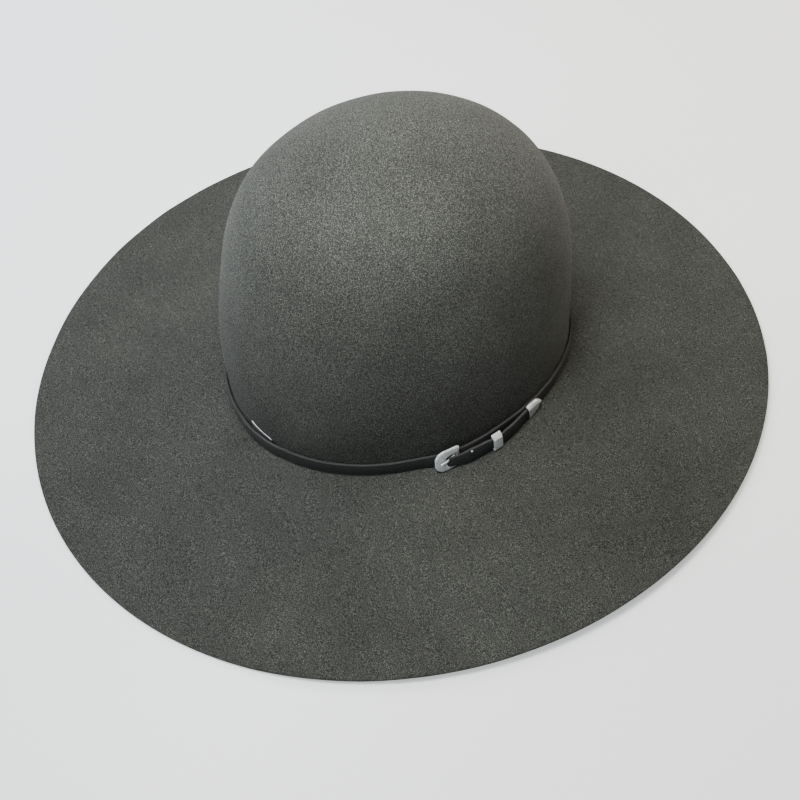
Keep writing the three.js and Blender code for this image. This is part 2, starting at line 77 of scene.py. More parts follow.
class HatForm(bpy.types.PropertyGroup):
    """Sizes of the felt body."""

    felt: length("Felt", "Thickness of the felt", 2.2)
    crown_length: length("Crown length", "Outside of the crown from front to back, at its foot", 220)
    crown_width: length("Crown width", "Outside of the crown from side to side, at its foot", 182)
    crown_height: length("Crown height", "Top of the crown over its foot", 166.5)
    taper: share("Taper", "How much narrower the crown is at its top", 0.095)
    dome: FloatProperty(name="Dome", description="Squareness of the dome", default=4.54)
    shoulder: FloatProperty(name="Shoulder", description="Roundness of the shoulder", default=1.98)
    brim: length("Brim", "Width of the brim from the crown's foot to its edge", 122.4)
    fold: length("Fold", "Radius under the fold between crown and brim", 3.5)
    edge_drop: length("Edge drop", "Mean depth of the brim's edge under the crown's foot", 2.9)
    edge_side_rise: length("Edge side rise", "Rise of the edge at the sides, and its dip at the ends", 2.67)
    edge_twist: length("Edge twist", "Lift of the edge towards one diagonal", -1.8)
    foot_back_rise: length("Foot back rise", "How far the foot rises at the back", 0.87)
    foot_side_rise: length("Foot side rise", "How far the foot rises at the sides", 0.93)
    foot_twist: length("Foot twist", "Lift of the foot towards one diagonal", -2.73)
    flattening: length("Flattening", "How much the brim gives where it rests", 0.8)
    unevenness: length("Unevenness", "Depth of the soft waves left by blocking", 0.35)
    columns: IntProperty(name="Columns", description="Faces round the hat", default=240)


class HatTrim(bpy.types.PropertyGroup):
    """Sizes of the strap and of the metal on it."""

    clearance: length("Clearance", "Gap between pieces that touch", 0.3)
    band_height: length("Strap width", "Width of the strap", 9.6)
    band_thickness: length("Strap thickness", "Thickness of the strap", 1.6)
    overlap: length("Overlap", "Length of the strap after the buckle's bar", 59)
    buckle_turn: FloatProperty(
        name="Buckle turn", description="Place of the bar, from the back over the right", default=266.2
    )
    buckle_length: length("Buckle length", "Length of the frame", 15.6)
    buckle_height: length("Buckle height", "Height of the frame at its outer end", 16)
    buckle_thickness: length("Buckle thickness", "Thickness of the frame", 1.8)
    buckle_mouth: length("Outer end", "Width of the frame's outer end", 7)
    bar_depth: length("Bar depth", "Distance of the bar from the crown", 5.1)
    bar_radius: length("Bar radius", "Radius of the bar", 0.8)
    lower_arm: length("Lower arm", "Width of the frame's lower arm", 3.0)
    upper_arm: length("Upper arm", "Width of the frame's upper arm", 5.2)
    arm_taper: length("Arm taper", "How much each arm narrows towards the bar", 0.7)
    metal: length("Metal", "Thickness of the sheet metal", 0.6)
    tongue_width: length("Tongue width", "Width of the tongue", 1.9)
    tongue_thickness: length("Tongue thickness", "Thickness of the tongue", 0.9)
    keeper_place: length("Keeper place", "Middle of the keeper after the bar", 25.2)
    keeper_length: length("Keeper length", "Length of the keeper along the strap", 6)
    keeper_front: length("Keeper front", "Thickness of the keeper's front", 0.7)
    keeper_facet: length("Keeper facet", "Height of the slanting facet along the keeper's top", 1.9)
    cap_length: length("Cap length", "Length of the tip's cap", 13.4)
    cap_overhang: length("Cap overhang", "How far the cap reaches past the strap's end", 5.2)
    cap_slant: length("Cap slant", "Slant of the cap's open edge", 2.4)
    pin_place: length("Pin place", "Place of the pin after the bar", 8.1)
    pin_radius: length("Pin radius", "Radius of the pin's head", 0.62)
    plate_turn: FloatProperty(name="Plate turn", description="Place of the small plate", default=200.2)
    plate_length: length("Plate length", "Length of the small plate", 17.2)
    plate_height: length("Plate height", "Height of the small plate", 8)
    plate_tuck: length("Plate tuck", "How far the plate reaches down behind the strap", 3)
    plate_thickness: length("Plate thickness", "Thickness of the small plate", 0.5)


class HatFinish(bpy.types.PropertyGroup):
    """Colours and finishes."""

    felt_dark: colour("Felt", "Ground colour of the felt", "#1b1c19")
    felt_light: colour("Felt fibre", "Pale fibres in the felt", "#666761")
    strap_dark: colour("Strap", "Ground colour of the strap", "#2a2a2a")
    # The pale strap colour also gives the painted highlight on the strap's faces that look up.
    strap_light: colour("Strap fibre", "Pale fibres on the strap's cut edges", "#4d4c49")
    fibre: colour("Loose fibre", "Palest of the loose fibres", "#a5a39f")
    fibres: FloatProperty(name="Fibres", description="Loose fibres on a square metre", default=850000)
    fibre_length: length("Fibre length", "Length of a loose fibre", 0.42)
    fibre_width: length("Fibre width", "Width of a loose fibre", 0.034)
    nickel: colour("Nickel", "Colour of the plated metal", "#eef2f1")
    floor: colour("Floor", "Colour of the floor", "#f4f4f3")


# Shape of the front wall. Heights and reaches are shares of the crown's height,
# depths are shares of its length, and a negative depth is a hollow.
FRONT_FORMS = (
    dict(height=0.0, reach=0.03, depth=0.0064),
    dict(height=0.23, reach=0.13, depth=0.0051),
    dict(height=0.57, reach=0.21, depth=-0.0138),
)

# Way of the strap from the hook round the bar back to the crown. Along is a share of the run,
# out goes from 0 under the bar to 1 on the crown, rise from 0 to 1 at the buckle's level.
HOOK_RUN = (
    dict(along=0.1, out=0.04, rise=0.8, lean=0.7, width=0.85),
    dict(along=0.25, out=0.2, rise=0.4, lean=0.4, width=0.95),
    dict(along=0.5, out=0.5, rise=0.1, lean=0.2, width=1),
    dict(along=0.75, out=0.85, rise=0, lean=0.1, width=1),
)

# Way of the strap before the bar. Along is a share of the buckle's length, out goes from 0 on the
# crown to 1 over the bar, rise is a share of the strap's width, and width is how far the strap is
# squeezed.
APPROACH = (
    dict(along=-1.75, out=0, rise=0, lean=0, width=1),
    dict(along=-1.35, out=0.05, rise=0, lean=0, width=1),
    dict(along=-1.03, out=0.17, rise=0.01, lean=0.3, width=1),
    dict(along=-0.77, out=0.28, rise=0.04, lean=0.7, width=0.95),
    dict(along=-0.58, out=0.36, rise=0.11, lean=1, width=0.85),
    dict(along=-0.49, out=0.42, rise=0.15, lean=1, width=0.78),
    dict(along=-0.435, out=0.58, rise=0.15, lean=1, width=0.75),
    dict(along=-0.4, out=0.82, rise=0.145, lean=1, width=0.75),
    dict(along=-0.35, out=1.0, rise=0.14, lean=1, width=0.75),
    dict(along=-0.25, out=1.05, rise=0.12, lean=1, width=0.76),
    dict(along=-0.1, out=1.05, rise=0.1, lean=1, width=0.78),
)

# Way of the strap after the bar. Along is a share of the overlap's length, out goes from 0 on the
# first layer to 1 at the height of the bar, rise is a share of the strap's width.
OVERLAP = (
    dict(along=0, out=1.05, rise=0.075, lean=1, width=0.8),
    dict(along=0.035, out=1.08, rise=0.055, lean=1.05, width=0.84),
    dict(along=0.08, out=1.13, rise=0.075, lean=1.1, width=0.93),
    dict(along=0.14, out=1.12, rise=0.094, lean=0.9, width=1),
    dict(along=0.2, out=1.09, rise=0.094, lean=0.7, width=1),
    dict(along=0.33, out=1.06, rise=0.094, lean=0.5, width=0.97),
    dict(along=0.37, out=1.05, rise=0.085, lean=0.5, width=0.8),
    dict(along=0.43, out=1.02, rise=0.08, lean=0.45, width=0.78),
    dict(along=0.485, out=0.98, rise=0.085, lean=0.45, width=0.82),
    dict(along=0.53, out=0.94, rise=0.094, lean=0.45, width=0.98),
    dict(along=0.62, out=0.78, rise=0.094, lean=0.4, width=1),
    dict(along=0.71, out=0.55, rise=0.094, lean=0.3, width=1),
    dict(along=0.83, out=0.28, rise=0.094, lean=0.1, width=1),
    dict(along=0.91, out=0.15, rise=0.094, lean=0, width=0.98),
    dict(along=1, out=0.1, rise=0.094, lean=-0.3, width=0.9),
)

# Top of the small plate: along is a share of its length, rise of its height.
PLATE_TOP = (
    dict(along=-0.5, rise=0.96),
    dict(along=-0.47, rise=0.98),
    dict(along=-0.25, rise=0.79),
    dict(along=0, rise=0.66),
    dict(along=0.25, rise=0.6),
    dict(along=0.35, rise=0.56),
    dict(along=0.48, rise=0.45),
    dict(along=0.5, rise=0.42),
)

# Patches of painted light and shade, lighter or darker where the crown and the brim catch more or
# less light. A turn of 180 is the front and 270 the wearer's left. Height is a share of the crown,
# reach a share of the brim.
PAINTED_LIGHT_PATCHES = (
    dict(turn=180, height=0.965, size=42, tone=0.84),
    dict(turn=250, height=0.88, size=50, tone=1.24),
    dict(turn=306, height=0.55, size=55, tone=0.74),
    dict(turn=218, height=0.2, size=34, tone=1.3),
    dict(turn=252, reach=0.2, size=42, tone=1.18),
    dict(turn=264, reach=0.75, size=60, tone=1.14),
    dict(turn=323, reach=0.25, size=45, tone=0.86),
    dict(turn=297, reach=0.86, size=60, tone=0.9),
)

# Section of the tip's cap, from its lower edge over the front and the ridge to its upper edge.
# Level is a share of half the width, and out a share of the cap's depth from its back.
CAP_SECTION = (
    dict(level=-1, out=0),
    dict(level=-1, out=0.3),
    dict(level=-1, out=0.6),
    dict(level=-0.97, out=0.68),
    dict(level=-0.9, out=0.73),
    dict(level=-0.6, out=0.82),
    dict(level=-0.3, out=0.88),
    dict(level=0, out=0.93),
    dict(level=0.3, out=0.98),
    dict(level=0.46, out=1),
    dict(level=0.52, out=1),
    dict(level=0.57, out=0.985),
    dict(level=0.63, out=0.95),
    dict(level=0.78, out=0.8),
    dict(level=0.92, out=0.66),
    dict(level=0.98, out=0.56),
    dict(level=1, out=0.35),
    dict(level=1, out=0),
)

# The camera was found by fitting the hat's outline to the photograph: place on a sphere round the
# crown's foot, roll, and the small turns that carry the hat off the picture's middle. The focal
# length is a share of the picture's width.
CAMERA = dict(
    azimuth=68.58, elevation=49.38, roll=-3.735, distance=0.5985, turn=-0.034, pitch=-3.352, focal=940 / 800
)
SENSOR = 36

# Lamps, placed by their turn round the hat from the picture's right over its back.
LAMPS = (
    dict(name="ceiling", turn=240, reach=0.14, height=0.58, size=0.25, power=4.5, tone=(0.97, 0.98, 1)),
    dict(name="window", turn=228, reach=3, height=2, size=1.6, power=44, tone=(0.76, 0.89, 1)),
    dict(name="left window", turn=185, reach=2.4, height=2.4, size=1.6, power=23, tone=(1, 0.96, 0.92)),
    dict(name="left wall", turn=150, reach=0.75, height=0.45, size=0.5, power=4.2, tone=(0.74, 0.88, 1)),
    dict(name="back wall", turn=105, reach=0.8, height=0.6, size=0.5, power=5.7, tone=(0.94, 0.94, 1)),
    dict(name="warm side", turn=35, reach=0.8, height=0.6, size=0.4, power=6.0, tone=(1, 0.93, 0.76)),
    dict(name="right window", turn=350, reach=2.4, height=2.4, size=1.6, power=6, tone=(1, 0.9, 0.72)),
)
LAMP_AIM = 0.06  # height that the lamps point at
FLOOR_HALF = 3.0

# Slopes of the frame: its top leans in to the crown and its outer end stands off it.
BUCKLE_LEAN = 0.14
BUCKLE_TILT = 0.12
BAND_EDGE = 0.35 * MM  # rounding of the strap's edges
BRIM_CORNER = 0.75 * MM  # rounding of the brim's edge
HOOK_RUN_LENGTH = 40 * MM  # from the bar back to the crown
ARM_PAST_BAR = 1.0 * MM  # from the bar's surface to the end of the frame's arms
TONGUE_REACH = 4.2 * MM  # from the frame's mouth to the tongue's tip

# Rows of faces up the crown, over the brim and under it, and steps of the tables along curves.
CROWN_ROWS = 130
BRIM_ROWS = 54
UNDER_ROWS = 29
DOME_STEPS = 4000
WALL_STEPS = 1441
ROUND_KEYS = 85
STRAP_STEP = 1.1 * MM
TABLE_STEP = 0.4 * MM
FRAME_SECTIONS = 90
TONGUE_SECTIONS = 60

# Size, detail and roughness of the felt's patterns. Single fibres are some 0.02 mm thick. They are
# drawn as 0.42 mm flecks so that they show, over tufts and over clouds as broad as a brush stroke.
FELT_NOISE = ((0.42 * MM, 1, 0.6), (1.3 * MM, 3, 0.6), (38 * MM, 2, 0.5))
FELT_SHEEN = "#c9cac8"
TOP_PAINTED_LIGHT = 0.34  # painted light: how much lighter the felt is painted towards the top of the crown

FLAT = "flat"  # closes a loft by one flat face


class Surface:
    """Crown and brim as formulas. A turn of 0 is the back, pi/2 the wearer's right and pi the front."""

    def __init__(self, form):
        self.form = form
        self.half_length = form.crown_length / 2
        self.half_width = form.crown_width / 2
        lowest = -form.edge_drop - math.hypot(form.edge_side_rise, form.edge_twist)
        self.floor = lowest - form.felt + form.flattening

    def outward(self, turn):
        x = -self.half_length * np.sin(turn)
        y = self.half_width * np.cos(turn)
        size = np.hypot(x, y)
        return np.stack([x / size, y / size, np.zeros_like(x)], -1)

    def foot(self, turn):
        form = self.form
        return (
            form.foot_back_rise * np.cos(turn)
            - form.foot_side_rise * np.cos(2 * turn)
            + form.foot_twist * np.sin(2 * turn)
        )

    def edge(self, turn):
        form = self.form
        return -form.edge_drop - form.edge_side_rise * np.cos(2 * turn) + form.edge_twist * np.sin(2 * turn)

    def front(self, turn, height):
        """How far the front wall stands out, at a share of the crown's height."""
        facing = ((1 - np.cos(turn)) / 2) ** 1.5
        depth = 0
        for row in FRONT_FORMS:
            near = np.exp(-(((height - row["height"]) / row["reach"]) ** 2))
            depth = depth + row["depth"] * self.form.crown_length * near
        return facing * depth * (1 - height**self.form.dome)

    def crown(self, turn, height):
        """Outside of the crown, at a share of its height."""
        form = self.form
        turn, height = np.broadcast_arrays(np.asarray(turn, float), np.asarray(height, float))
        dome = np.maximum(0, 1 - height**form.dome) ** (1 / form.shoulder)
        section = dome * (1 - form.taper * height)
        x = -self.half_width * section * np.sin(turn)
        y = self.half_length * section * np.cos(turn)
        z = height * form.crown_height + self.foot(turn) * (1 - height) ** 2 - self.floor
        place = np.stack([x, y, z], -1)
        return place + self.outward(turn) * self.front(turn, height)[..., None]

    def brim(self, turn, reach, inset=0.0):
        """Upper face of the brim, from reach 0 at the crown's foot to 1 at its edge."""
        flare = self.front(turn, np.zeros_like(turn)) * min(reach, 1)
        out = reach * self.form.brim - inset - flare
        place = self.crown(turn, np.zeros_like(turn)) + self.outward(turn) * out[..., None]
        place[..., 2] = self.foot(turn) * (1 - reach) + self.edge(turn) * reach - self.floor
        return place


def along_dome(form, start, count):
    """Shares of the crown's height that lie evenly along its profile, from start to the top."""
    angle = np.linspace(0, math.pi / 2, DOME_STEPS)
    height = start + (1 - start) * np.sin(angle)
    radius = (form.crown_length + form.crown_width) / 4
    width = radius * np.maximum(0, 1 - height**form.dome) ** (1 / form.shoulder)
    steps = np.hypot(np.diff(width), np.diff(height * form.crown_height))
    run = np.concatenate([[0], np.cumsum(steps)])
    return np.interp(np.linspace(0, run[-1], count + 1)[:-1], run, height)


def soft_waves(places, depth):
    """Gentle unevenness of blocked felt, as a few crossing waves 30 to 90 mm long."""
    x, y, z = (places[..., i] for i in range(3))
    waves = (
        np.sin(x / 0.0137 + 1.3 + 2.0 * np.sin(y / 0.027)) * np.sin(z / 0.011 + y / 0.019)
        + 0.8 * np.sin(y / 0.0113 + z / 0.023 + 0.7) * np.sin(x / 0.0171 - 2.1)
        + 0.6 * np.sin((x + y) / 0.0083 + 4.0) * np.sin((x - y) / 0.0127 + z / 0.0091)
    )
    return depth * waves / (1 + 0.8 + 0.6)


def circle(count):
    """Angles evenly round a circle."""
    return np.linspace(0, 2 * math.pi, count, endpoint=False)


def add_object(name, data):
    """Puts a new object in the scene."""
    item = bpy.data.objects.new(name, data)
    bpy.context.scene.collection.objects.link(item)
    return item


def mesh_object(name, vertices, faces, smooth=True):
    mesh = bpy.data.meshes.new(name)
    mesh.from_pydata([tuple(v) for v in vertices], [], faces)
    mesh.validate()
    mesh.update()
    if smooth:
        mesh.shade_smooth()
    return add_object(name, mesh)


def loft(name, rings, start=None, end=None, closed_round=True, closed_along=False):
    """Joins rings of points into one skin. A start or end is a point, FLAT, or None for open."""
    count, size = len(rings), len(rings[0])
    vertices = [point for ring in rings for point in ring]
    faces = []
    for r in range(count if closed_along else count - 1):
        here, after = r * size, (r + 1) % count * size
        for i in range(size if closed_round else size - 1):
            j = (i + 1) % size
            faces.append((here + i, after + i, after + j, here + j))
    for pole, first in ((start, 0), (end, (count - 1) * size)):
        ring = range(first, first + size)
        if pole is FLAT:
            faces.append(tuple(reversed(ring) if first else ring))
        elif pole is not None:
            vertices.append(pole)
            for i in range(size):
                a, b = ring[i], ring[(i + 1) % size]
                faces.append((len(vertices) - 1, b, a) if first else (len(vertices) - 1, a, b))
    return mesh_object(name, vertices, faces)


def turned_out(piece):
    """Turns all faces outwards."""
    mesh = piece.data
    mesh.calc_loop_triangles()
    points = np.array([v.co for v in mesh.vertices])
    corners = np.array([t.vertices for t in mesh.loop_triangles])
    a, b, c = (points[corners[:, i]] for i in range(3))
    if np.einsum("ij,ij->i", a, np.cross(b, c)).sum() < 0:
        mesh.flip_normals()
    return piece


def solid(name, rings):
    """Joins rings into a skin that is closed at the middle of each end."""
    return turned_out(loft(name, rings, rings[0].mean(0), rings[-1].mean(0)))


def finished(piece):
    """Applies the modifiers that a piece carries, so that it is a plain mesh."""
    graph = bpy.context.evaluated_depsgraph_get()
    mesh = bpy.data.meshes.new_from_object(piece.evaluated_get(graph))
    name, old = piece.name, piece.data
    bpy.data.objects.remove(piece)
    if old.users == 0 and isinstance(old, bpy.types.Mesh):
        bpy.data.meshes.remove(old)
    mesh.name = name
    return add_object(name, mesh)


def combined(piece, others, operation):
    """Joins a piece with others, or cuts them out of it."""
    for other in others:
        modifier = piece.modifiers.new(other.name, "BOOLEAN")
        modifier.operation = operation
        modifier.solver = "EXACT"
        modifier.object = other
    bpy.context.view_layer.update()
    piece = finished(piece)
    for other in others:
        bpy.data.objects.remove(other)
    return piece


def hand_over(piece, material, slot, *nodes):
    """Gives a finished piece its material and its place in the frame."""
    piece.data.materials.clear()
    piece.data.materials.append(material)
    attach(piece, "root")
    if nodes:
        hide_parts(*nodes)


def add_node(tree, kind, inputs=(), **settings):
    """Adds a node with its settings, and with values or linked sockets as its inputs, which are
    listed in order or by name or number. Gives its outputs."""
    node = tree.nodes.new(kind)
    for name, value in settings.items():
        setattr(node, name, value)
    for name, value in inputs.items() if isinstance(inputs, dict) else enumerate(inputs):
        if isinstance(value, bpy.types.NodeSocket):
            tree.links.new(value, node.inputs[name])
        else:
            node.inputs[name].default_value = value
    return node.outputs


def new_material(name):
    material = bpy.data.materials.new(name)
    material.use_nodes = True
    material.node_tree.nodes.clear()
    return material, material.node_tree


def rgba(value):
    return (*value[:3], 1.0)


def felt_material(name, dark, light, pile, painted_edge_highlight=0.0, brushed_and_painted_top_light=0.0, marks=()):
    """Fur felt: wet-blocked rabbit fur, brushed and sanded. Dull, with short pale fibres over a dark
    ground, a faint bloom where it is seen at a slant, painted light that makes it lighter towards the
    top of the crown, and patches of painted light and shade."""
    material, tree = new_material(name)
    place = add_node(tree, "ShaderNodeTexCoord")["Object"]
    fleck, tuft, cloud = (
        add_node(
            tree,
            "ShaderNodeTexNoise",
            {"Vector": place, "Scale": 1 / size, "Detail": detail, "Roughness": rough},
        )["Fac"]
        for size, detail, rough in FELT_NOISE
    )

    # A map range takes its value, the two ends of the range from, and the two of the range to.
    sharp = add_node(tree, "ShaderNodeMapRange", [fleck, 0.53, 0.66, 0, 1])[0]
    soft = add_node(tree, "ShaderNodeMapRange", [tuft, 0.3, 0.72, 0.02, 0.22])[0]
    fibres = add_node(tree, "ShaderNodeMath", [sharp, 0.75, soft], operation="MULTIPLY_ADD")[0]
    amount = add_node(tree, "ShaderNodeMath", [fibres, pile], operation="MULTIPLY")[0]

    # Broad changes of tone: random clouds, painted light towards the top of the crown, and patches of
    # painted light and shade.
    patch = add_node(tree, "ShaderNodeMapRange", [cloud, 0.3, 0.7, 0.9, 1.1])[0]
    ranges = []
    # Painted light: the felt is painted lighter from 15 mm to 160 mm up, towards the crown's top.
    if brushed_and_painted_top_light:
        height = add_node(tree, "ShaderNodeSeparateXYZ", [place])["Z"]
        ranges.append([height, 0.015, 0.16, 1, 1 + brushed_and_painted_top_light])
    # Patches of painted light and shade, each fading out from its middle.
    for middle, size, tone in marks:
        away = add_node(tree, "ShaderNodeVectorMath", [place, middle], operation="DISTANCE")["Value"]
        ranges.append([away, 0, size, tone, 1])
    for values in ranges:
        part = add_node(tree, "ShaderNodeMapRange", values, interpolation_type="SMOOTHSTEP")[0]
        patch = add_node(tree, "ShaderNodeMath", [patch, part], operation="MULTIPLY")[0]

    # Painted highlight: faces that look up get more of the pale fibre colour, as if lit from above.
    if painted_edge_highlight:
        facing = add_node(tree, "ShaderNodeNewGeometry")["Normal"]
        up = add_node(tree, "ShaderNodeSeparateXYZ", [facing])["Z"]
        edge_highlight = add_node(tree, "ShaderNodeMapRange", [up, 0.35, 0.95, 0, painted_edge_highlight])[0]
        amount = add_node(tree, "ShaderNodeMath", [amount, edge_highlight], operation="ADD", use_clamp=True)[0]
    mixed = {0: amount, 6: rgba(dark), 7: rgba(light)}
    ground = add_node(tree, "ShaderNodeMix", mixed, data_type="RGBA")[2]
    tone = add_node(tree, "ShaderNodeVectorMath", {0: ground, "Scale": patch}, operation="SCALE")[0]

    pile_height = add_node(tree, "ShaderNodeMath", [tuft, 1.6, fleck], operation="MULTIPLY_ADD")[0]
    relief = {"Strength": 0.55, "Distance": 0.35 * MM, "Height": pile_height}
    shader = add_node(
        tree,
        "ShaderNodeBsdfPrincipled",
        {
            "Base Color": tone,
            "Roughness": 0.95,
            "Specular IOR Level": 0.15,
            "Sheen Weight": 0.05,
            "Sheen Roughness": 0.4,
            "Sheen Tint": rgba(linear(FELT_SHEEN)),
            "Normal": add_node(tree, "ShaderNodeBump", relief)["Normal"],
        },
    )[0]
    add_node(tree, "ShaderNodeOutputMaterial", [shader])
    return material


def nickel_material(name, tone, wear_size, face):
    """Nickel plating on die-cast zinc: bright and slightly satin, with fine polishing marks and an
    uneven haze from handling. A face below 1 paints the faces that do not look up darker than those
    that look up: painted shade, as under light from above."""
    material, tree = new_material(name)
    place = add_node(tree, "ShaderNodeTexCoord")["Object"]
    wear = {"Vector": place, "Scale": 1 / wear_size, "Detail": 5, "Roughness": 0.6}
    haze = add_node(tree, "ShaderNodeTexNoise", wear)["Fac"]
    rough = add_node(tree, "ShaderNodeMapRange", [haze, 0.3, 0.7, 0.24, 0.42])[0]
    dulled = add_node(tree, "ShaderNodeMapRange", [haze, 0.4, 0.65, 1, 0.72])[0]

    # Painted light and shade: faces that look up keep the full colour, the others are painted darker by the
    # factor face.
    facing = add_node(tree, "ShaderNodeNewGeometry")["Normal"]
    up = add_node(tree, "ShaderNodeSeparateXYZ", [facing])["Z"]
    bright = add_node(tree, "ShaderNodeMapRange", [up, 0.3, 0.8, face, 1])[0]
    wear_and_painted_shade = add_node(tree, "ShaderNodeMath", [dulled, bright], operation="MULTIPLY")[0]
    tint = add_node(tree, "ShaderNodeVectorMath", {0: tone[:3], "Scale": wear_and_painted_shade}, operation="SCALE")[0]

    # Polishing marks are some 0.05 mm apart. They are drawn at 0.6 mm, and run along the metal.
    stretched = add_node(tree, "ShaderNodeMapping", {"Vector": place, "Scale": (1, 1, 9)})[0]
    scratches = {"Vector": stretched, "Scale": 1 / (0.6 * MM), "Detail": 3}
    marks = add_node(tree, "ShaderNodeTexNoise", scratches)["Fac"]
    relief = {"Strength": 0.25, "Distance": 0.1 * MM, "Height": marks}
    bump = add_node(tree, "ShaderNodeBump", relief)["Normal"]
    looks = {"Base Color": tint, "Metallic": 0.35, "Roughness": rough, "Normal": bump}
    shader = add_node(tree, "ShaderNodeBsdfPrincipled", looks)[0]
    add_node(tree, "ShaderNodeOutputMaterial", [shader])
    return material


def fibre_material(name, dark, light):
    """Fur fibres: single rabbit hairs that stand off the felt, from dark to nearly white."""
    material, tree = new_material(name)
    place = add_node(tree, "ShaderNodeTexCoord")["Object"]
    cell = add_node(tree, "ShaderNodeVectorMath", [place, (2 * MM,) * 3], operation="SNAP")[0]
    mottle = add_node(tree, "ShaderNodeTexWhiteNoise", {"Vector": cell}, noise_dimensions="3D")["Value"]
    mixed = {0: mottle, 6: rgba(dark), 7: rgba(light)}
    tint = add_node(tree, "ShaderNodeMix", mixed, data_type="RGBA")[2]
    looks = {"Base Color": tint, "Roughness": 0.8, "Specular IOR Level": 0.1}
    shader = add_node(tree, "ShaderNodeBsdfPrincipled", looks)[0]
    add_node(tree, "ShaderNodeOutputMaterial", [shader])
    return material


def floor_material(name, tone):
    """Matt white board, evenly lit."""
    material, tree = new_material(name)
    looks = {
        "Base Color": rgba(tone),
        "Roughness": 0.9,
        "Specular IOR Level": 0.1,
        "Emission Color": rgba(tone),
        "Emission Strength": 0.5,
    }
    shader = add_node(tree, "ShaderNodeBsdfPrincipled", looks)[0]
    add_node(tree, "ShaderNodeOutputMaterial", [shader])
    return material


class Strap:
    """Places along the strap: distance along the crown from the buckle's bar, out from the wall and
    up from the crown's foot."""

    def __init__(self, surface, trim):
        self.surface = surface
        self.trim = trim
        turns = math.radians(trim.buckle_turn) + np.linspace(0, 2 * math.pi, WALL_STEPS)
        wall = surface.crown(turns, np.zeros_like(turns)) + surface.outward(turns) * trim.bar_depth
        steps = np.hypot(*np.diff(wall[:, :2], axis=0).T)
        self.turns = turns
        self.run = np.concatenate([[0], np.cumsum(steps)])
        self.once = self.run[-1]
        self.hook = trim.bar_radius + trim.clearance + trim.band_thickness / 2
        self.first = trim.clearance + trim.band_thickness / 2
        self.second = self.first + trim.band_thickness + trim.clearance
        self.over = trim.bar_depth + self.hook
        self.rest = trim.clearance + trim.band_height / 2
        self.middle = trim.clearance + trim.buckle_height / 2
        self.frame_end = trim.bar_radius + ARM_PAST_BAR
        self.mouth = self.frame_end - trim.buckle_length + trim.buckle_mouth
        turn = math.radians(trim.plate_turn) + 2 * math.pi
        self.plate_place = float(np.interp(turn, turns, self.run))

    def place(self, along, out, up):
        """Point beside the crown."""
        along = np.asarray(along, float)
        laps = np.floor(along / self.once)
        turn = np.interp(along - laps * self.once, self.run, self.turns) + 2 * math.pi * laps
        height = np.maximum(0, up) / self.surface.form.crown_height
        return self.surface.crown(turn, height) + self.surface.outward(turn) * np.asarray(out)[..., None]

    def on_buckle(self, along, up, out):
        """Point of the buckle: along from the bar, up from the frame's middle, out from the bar."""
        along, up, out = (np.asarray(v, float) for v in (along, up, out))
        depth = self.trim.bar_depth + out - BUCKLE_TILT * along - BUCKLE_LEAN * up
        return self.place(along + self.once, depth, self.middle + up)

    def stand_off(self, along):
        """How far the strap stands off the crown, where the plate is tucked behind it. It comes back
        to the crown over half the plate's length past each end."""
        past = abs(along - self.plate_place) - self.trim.plate_length * 0.6
        ease = min(1, max(0, 1 - past / (self.trim.plate_length * 0.5)))
        full = self.trim.plate_thickness + self.trim.clearance * 0.5
        return full * ease * ease * (3 - 2 * ease)

    def keys(self):
        """Rows of along, out, middle height, lean and width, from the hook to the strap's end."""
        trim = self.trim
        wide = trim.band_height
        hooked = OVERLAP[0]
        hook_rise = hooked["rise"] * wide
        hook_out = trim.bar_depth - self.hook
        rows = []

        def add_rows(table, start, reach, low, high, rise):
            for row in table:
                along = start + row["along"] * reach
                out = low + (high - low) * row["out"]
                middle = self.rest + row["rise"] * rise
                rows.append((along, out, middle, row["lean"] * BUCKLE_LEAN, row["width"]))

        for angle in np.radians([185, 200, 215, 230, 245, 258, 270]):
            along = self.hook * math.cos(angle)
            out = trim.bar_depth + self.hook * math.sin(angle)
            rows.append((along, out, self.rest + hook_rise, BUCKLE_LEAN, hooked["width"]))
        add_rows(HOOK_RUN, 0, HOOK_RUN_LENGTH, hook_out, self.first, hook_rise)
        last = self.once + APPROACH[0]["along"] * trim.buckle_length
        for along in np.linspace(HOOK_RUN_LENGTH, last, ROUND_KEYS + 1)[:-1]:
            rows.append((along, self.first + self.stand_off(along), self.rest, 0, 1))
        add_rows(APPROACH, self.once, trim.buckle_length, self.first, self.over, wide)
        add_rows(OVERLAP, self.once, trim.overlap, self.second, self.over, wide)
        return np.array(rows)

    def path(self, step):
        """Smooth stations along the strap."""
        keys = self.keys()
        chord = np.hypot(*np.diff(keys[:, :2], axis=0).T)
        run = np.concatenate([[0], np.cumsum(np.maximum(chord, 1e-6))])
        slope = np.gradient(keys, run, axis=0)
        wanted = np.linspace(0, run[-1], int(run[-1] / step))
        k = np.clip(np.searchsorted(run, wanted, side="right") - 1, 0, len(run) - 2)
        width = (run[k + 1] - run[k])[:, None]
        t = (wanted - run[k])[:, None] / width
        return (
            keys[k] * (2 * t**3 - 3 * t**2 + 1)
            + slope[k] * width * (t**3 - 2 * t**2 + t)
            + keys[k + 1] * (3 * t**2 - 2 * t**3)
            + slope[k + 1] * width * (t**3 - t**2)
        )

    def overlap_at(self, along):
        """Out, height and lean of the overlap's middle, at a distance after the bar."""
        path = self.path(TABLE_STEP)
        late = path[path[:, 0] > self.once - 0.1 * MM]
        late = late[np.argsort(late[:, 0])]
        return [np.interp(np.asarray(along, float) + self.once, late[:, 0], late[:, i]) for i in (1, 2, 3)]


def shapes():
    """The hat's formulas and strap, from the sizes in the sidebar."""
    scene = bpy.context.scene
    surface = Surface(scene.hat_form)
    return surface, Strap(surface, scene.hat_trim), scene.hat_finish


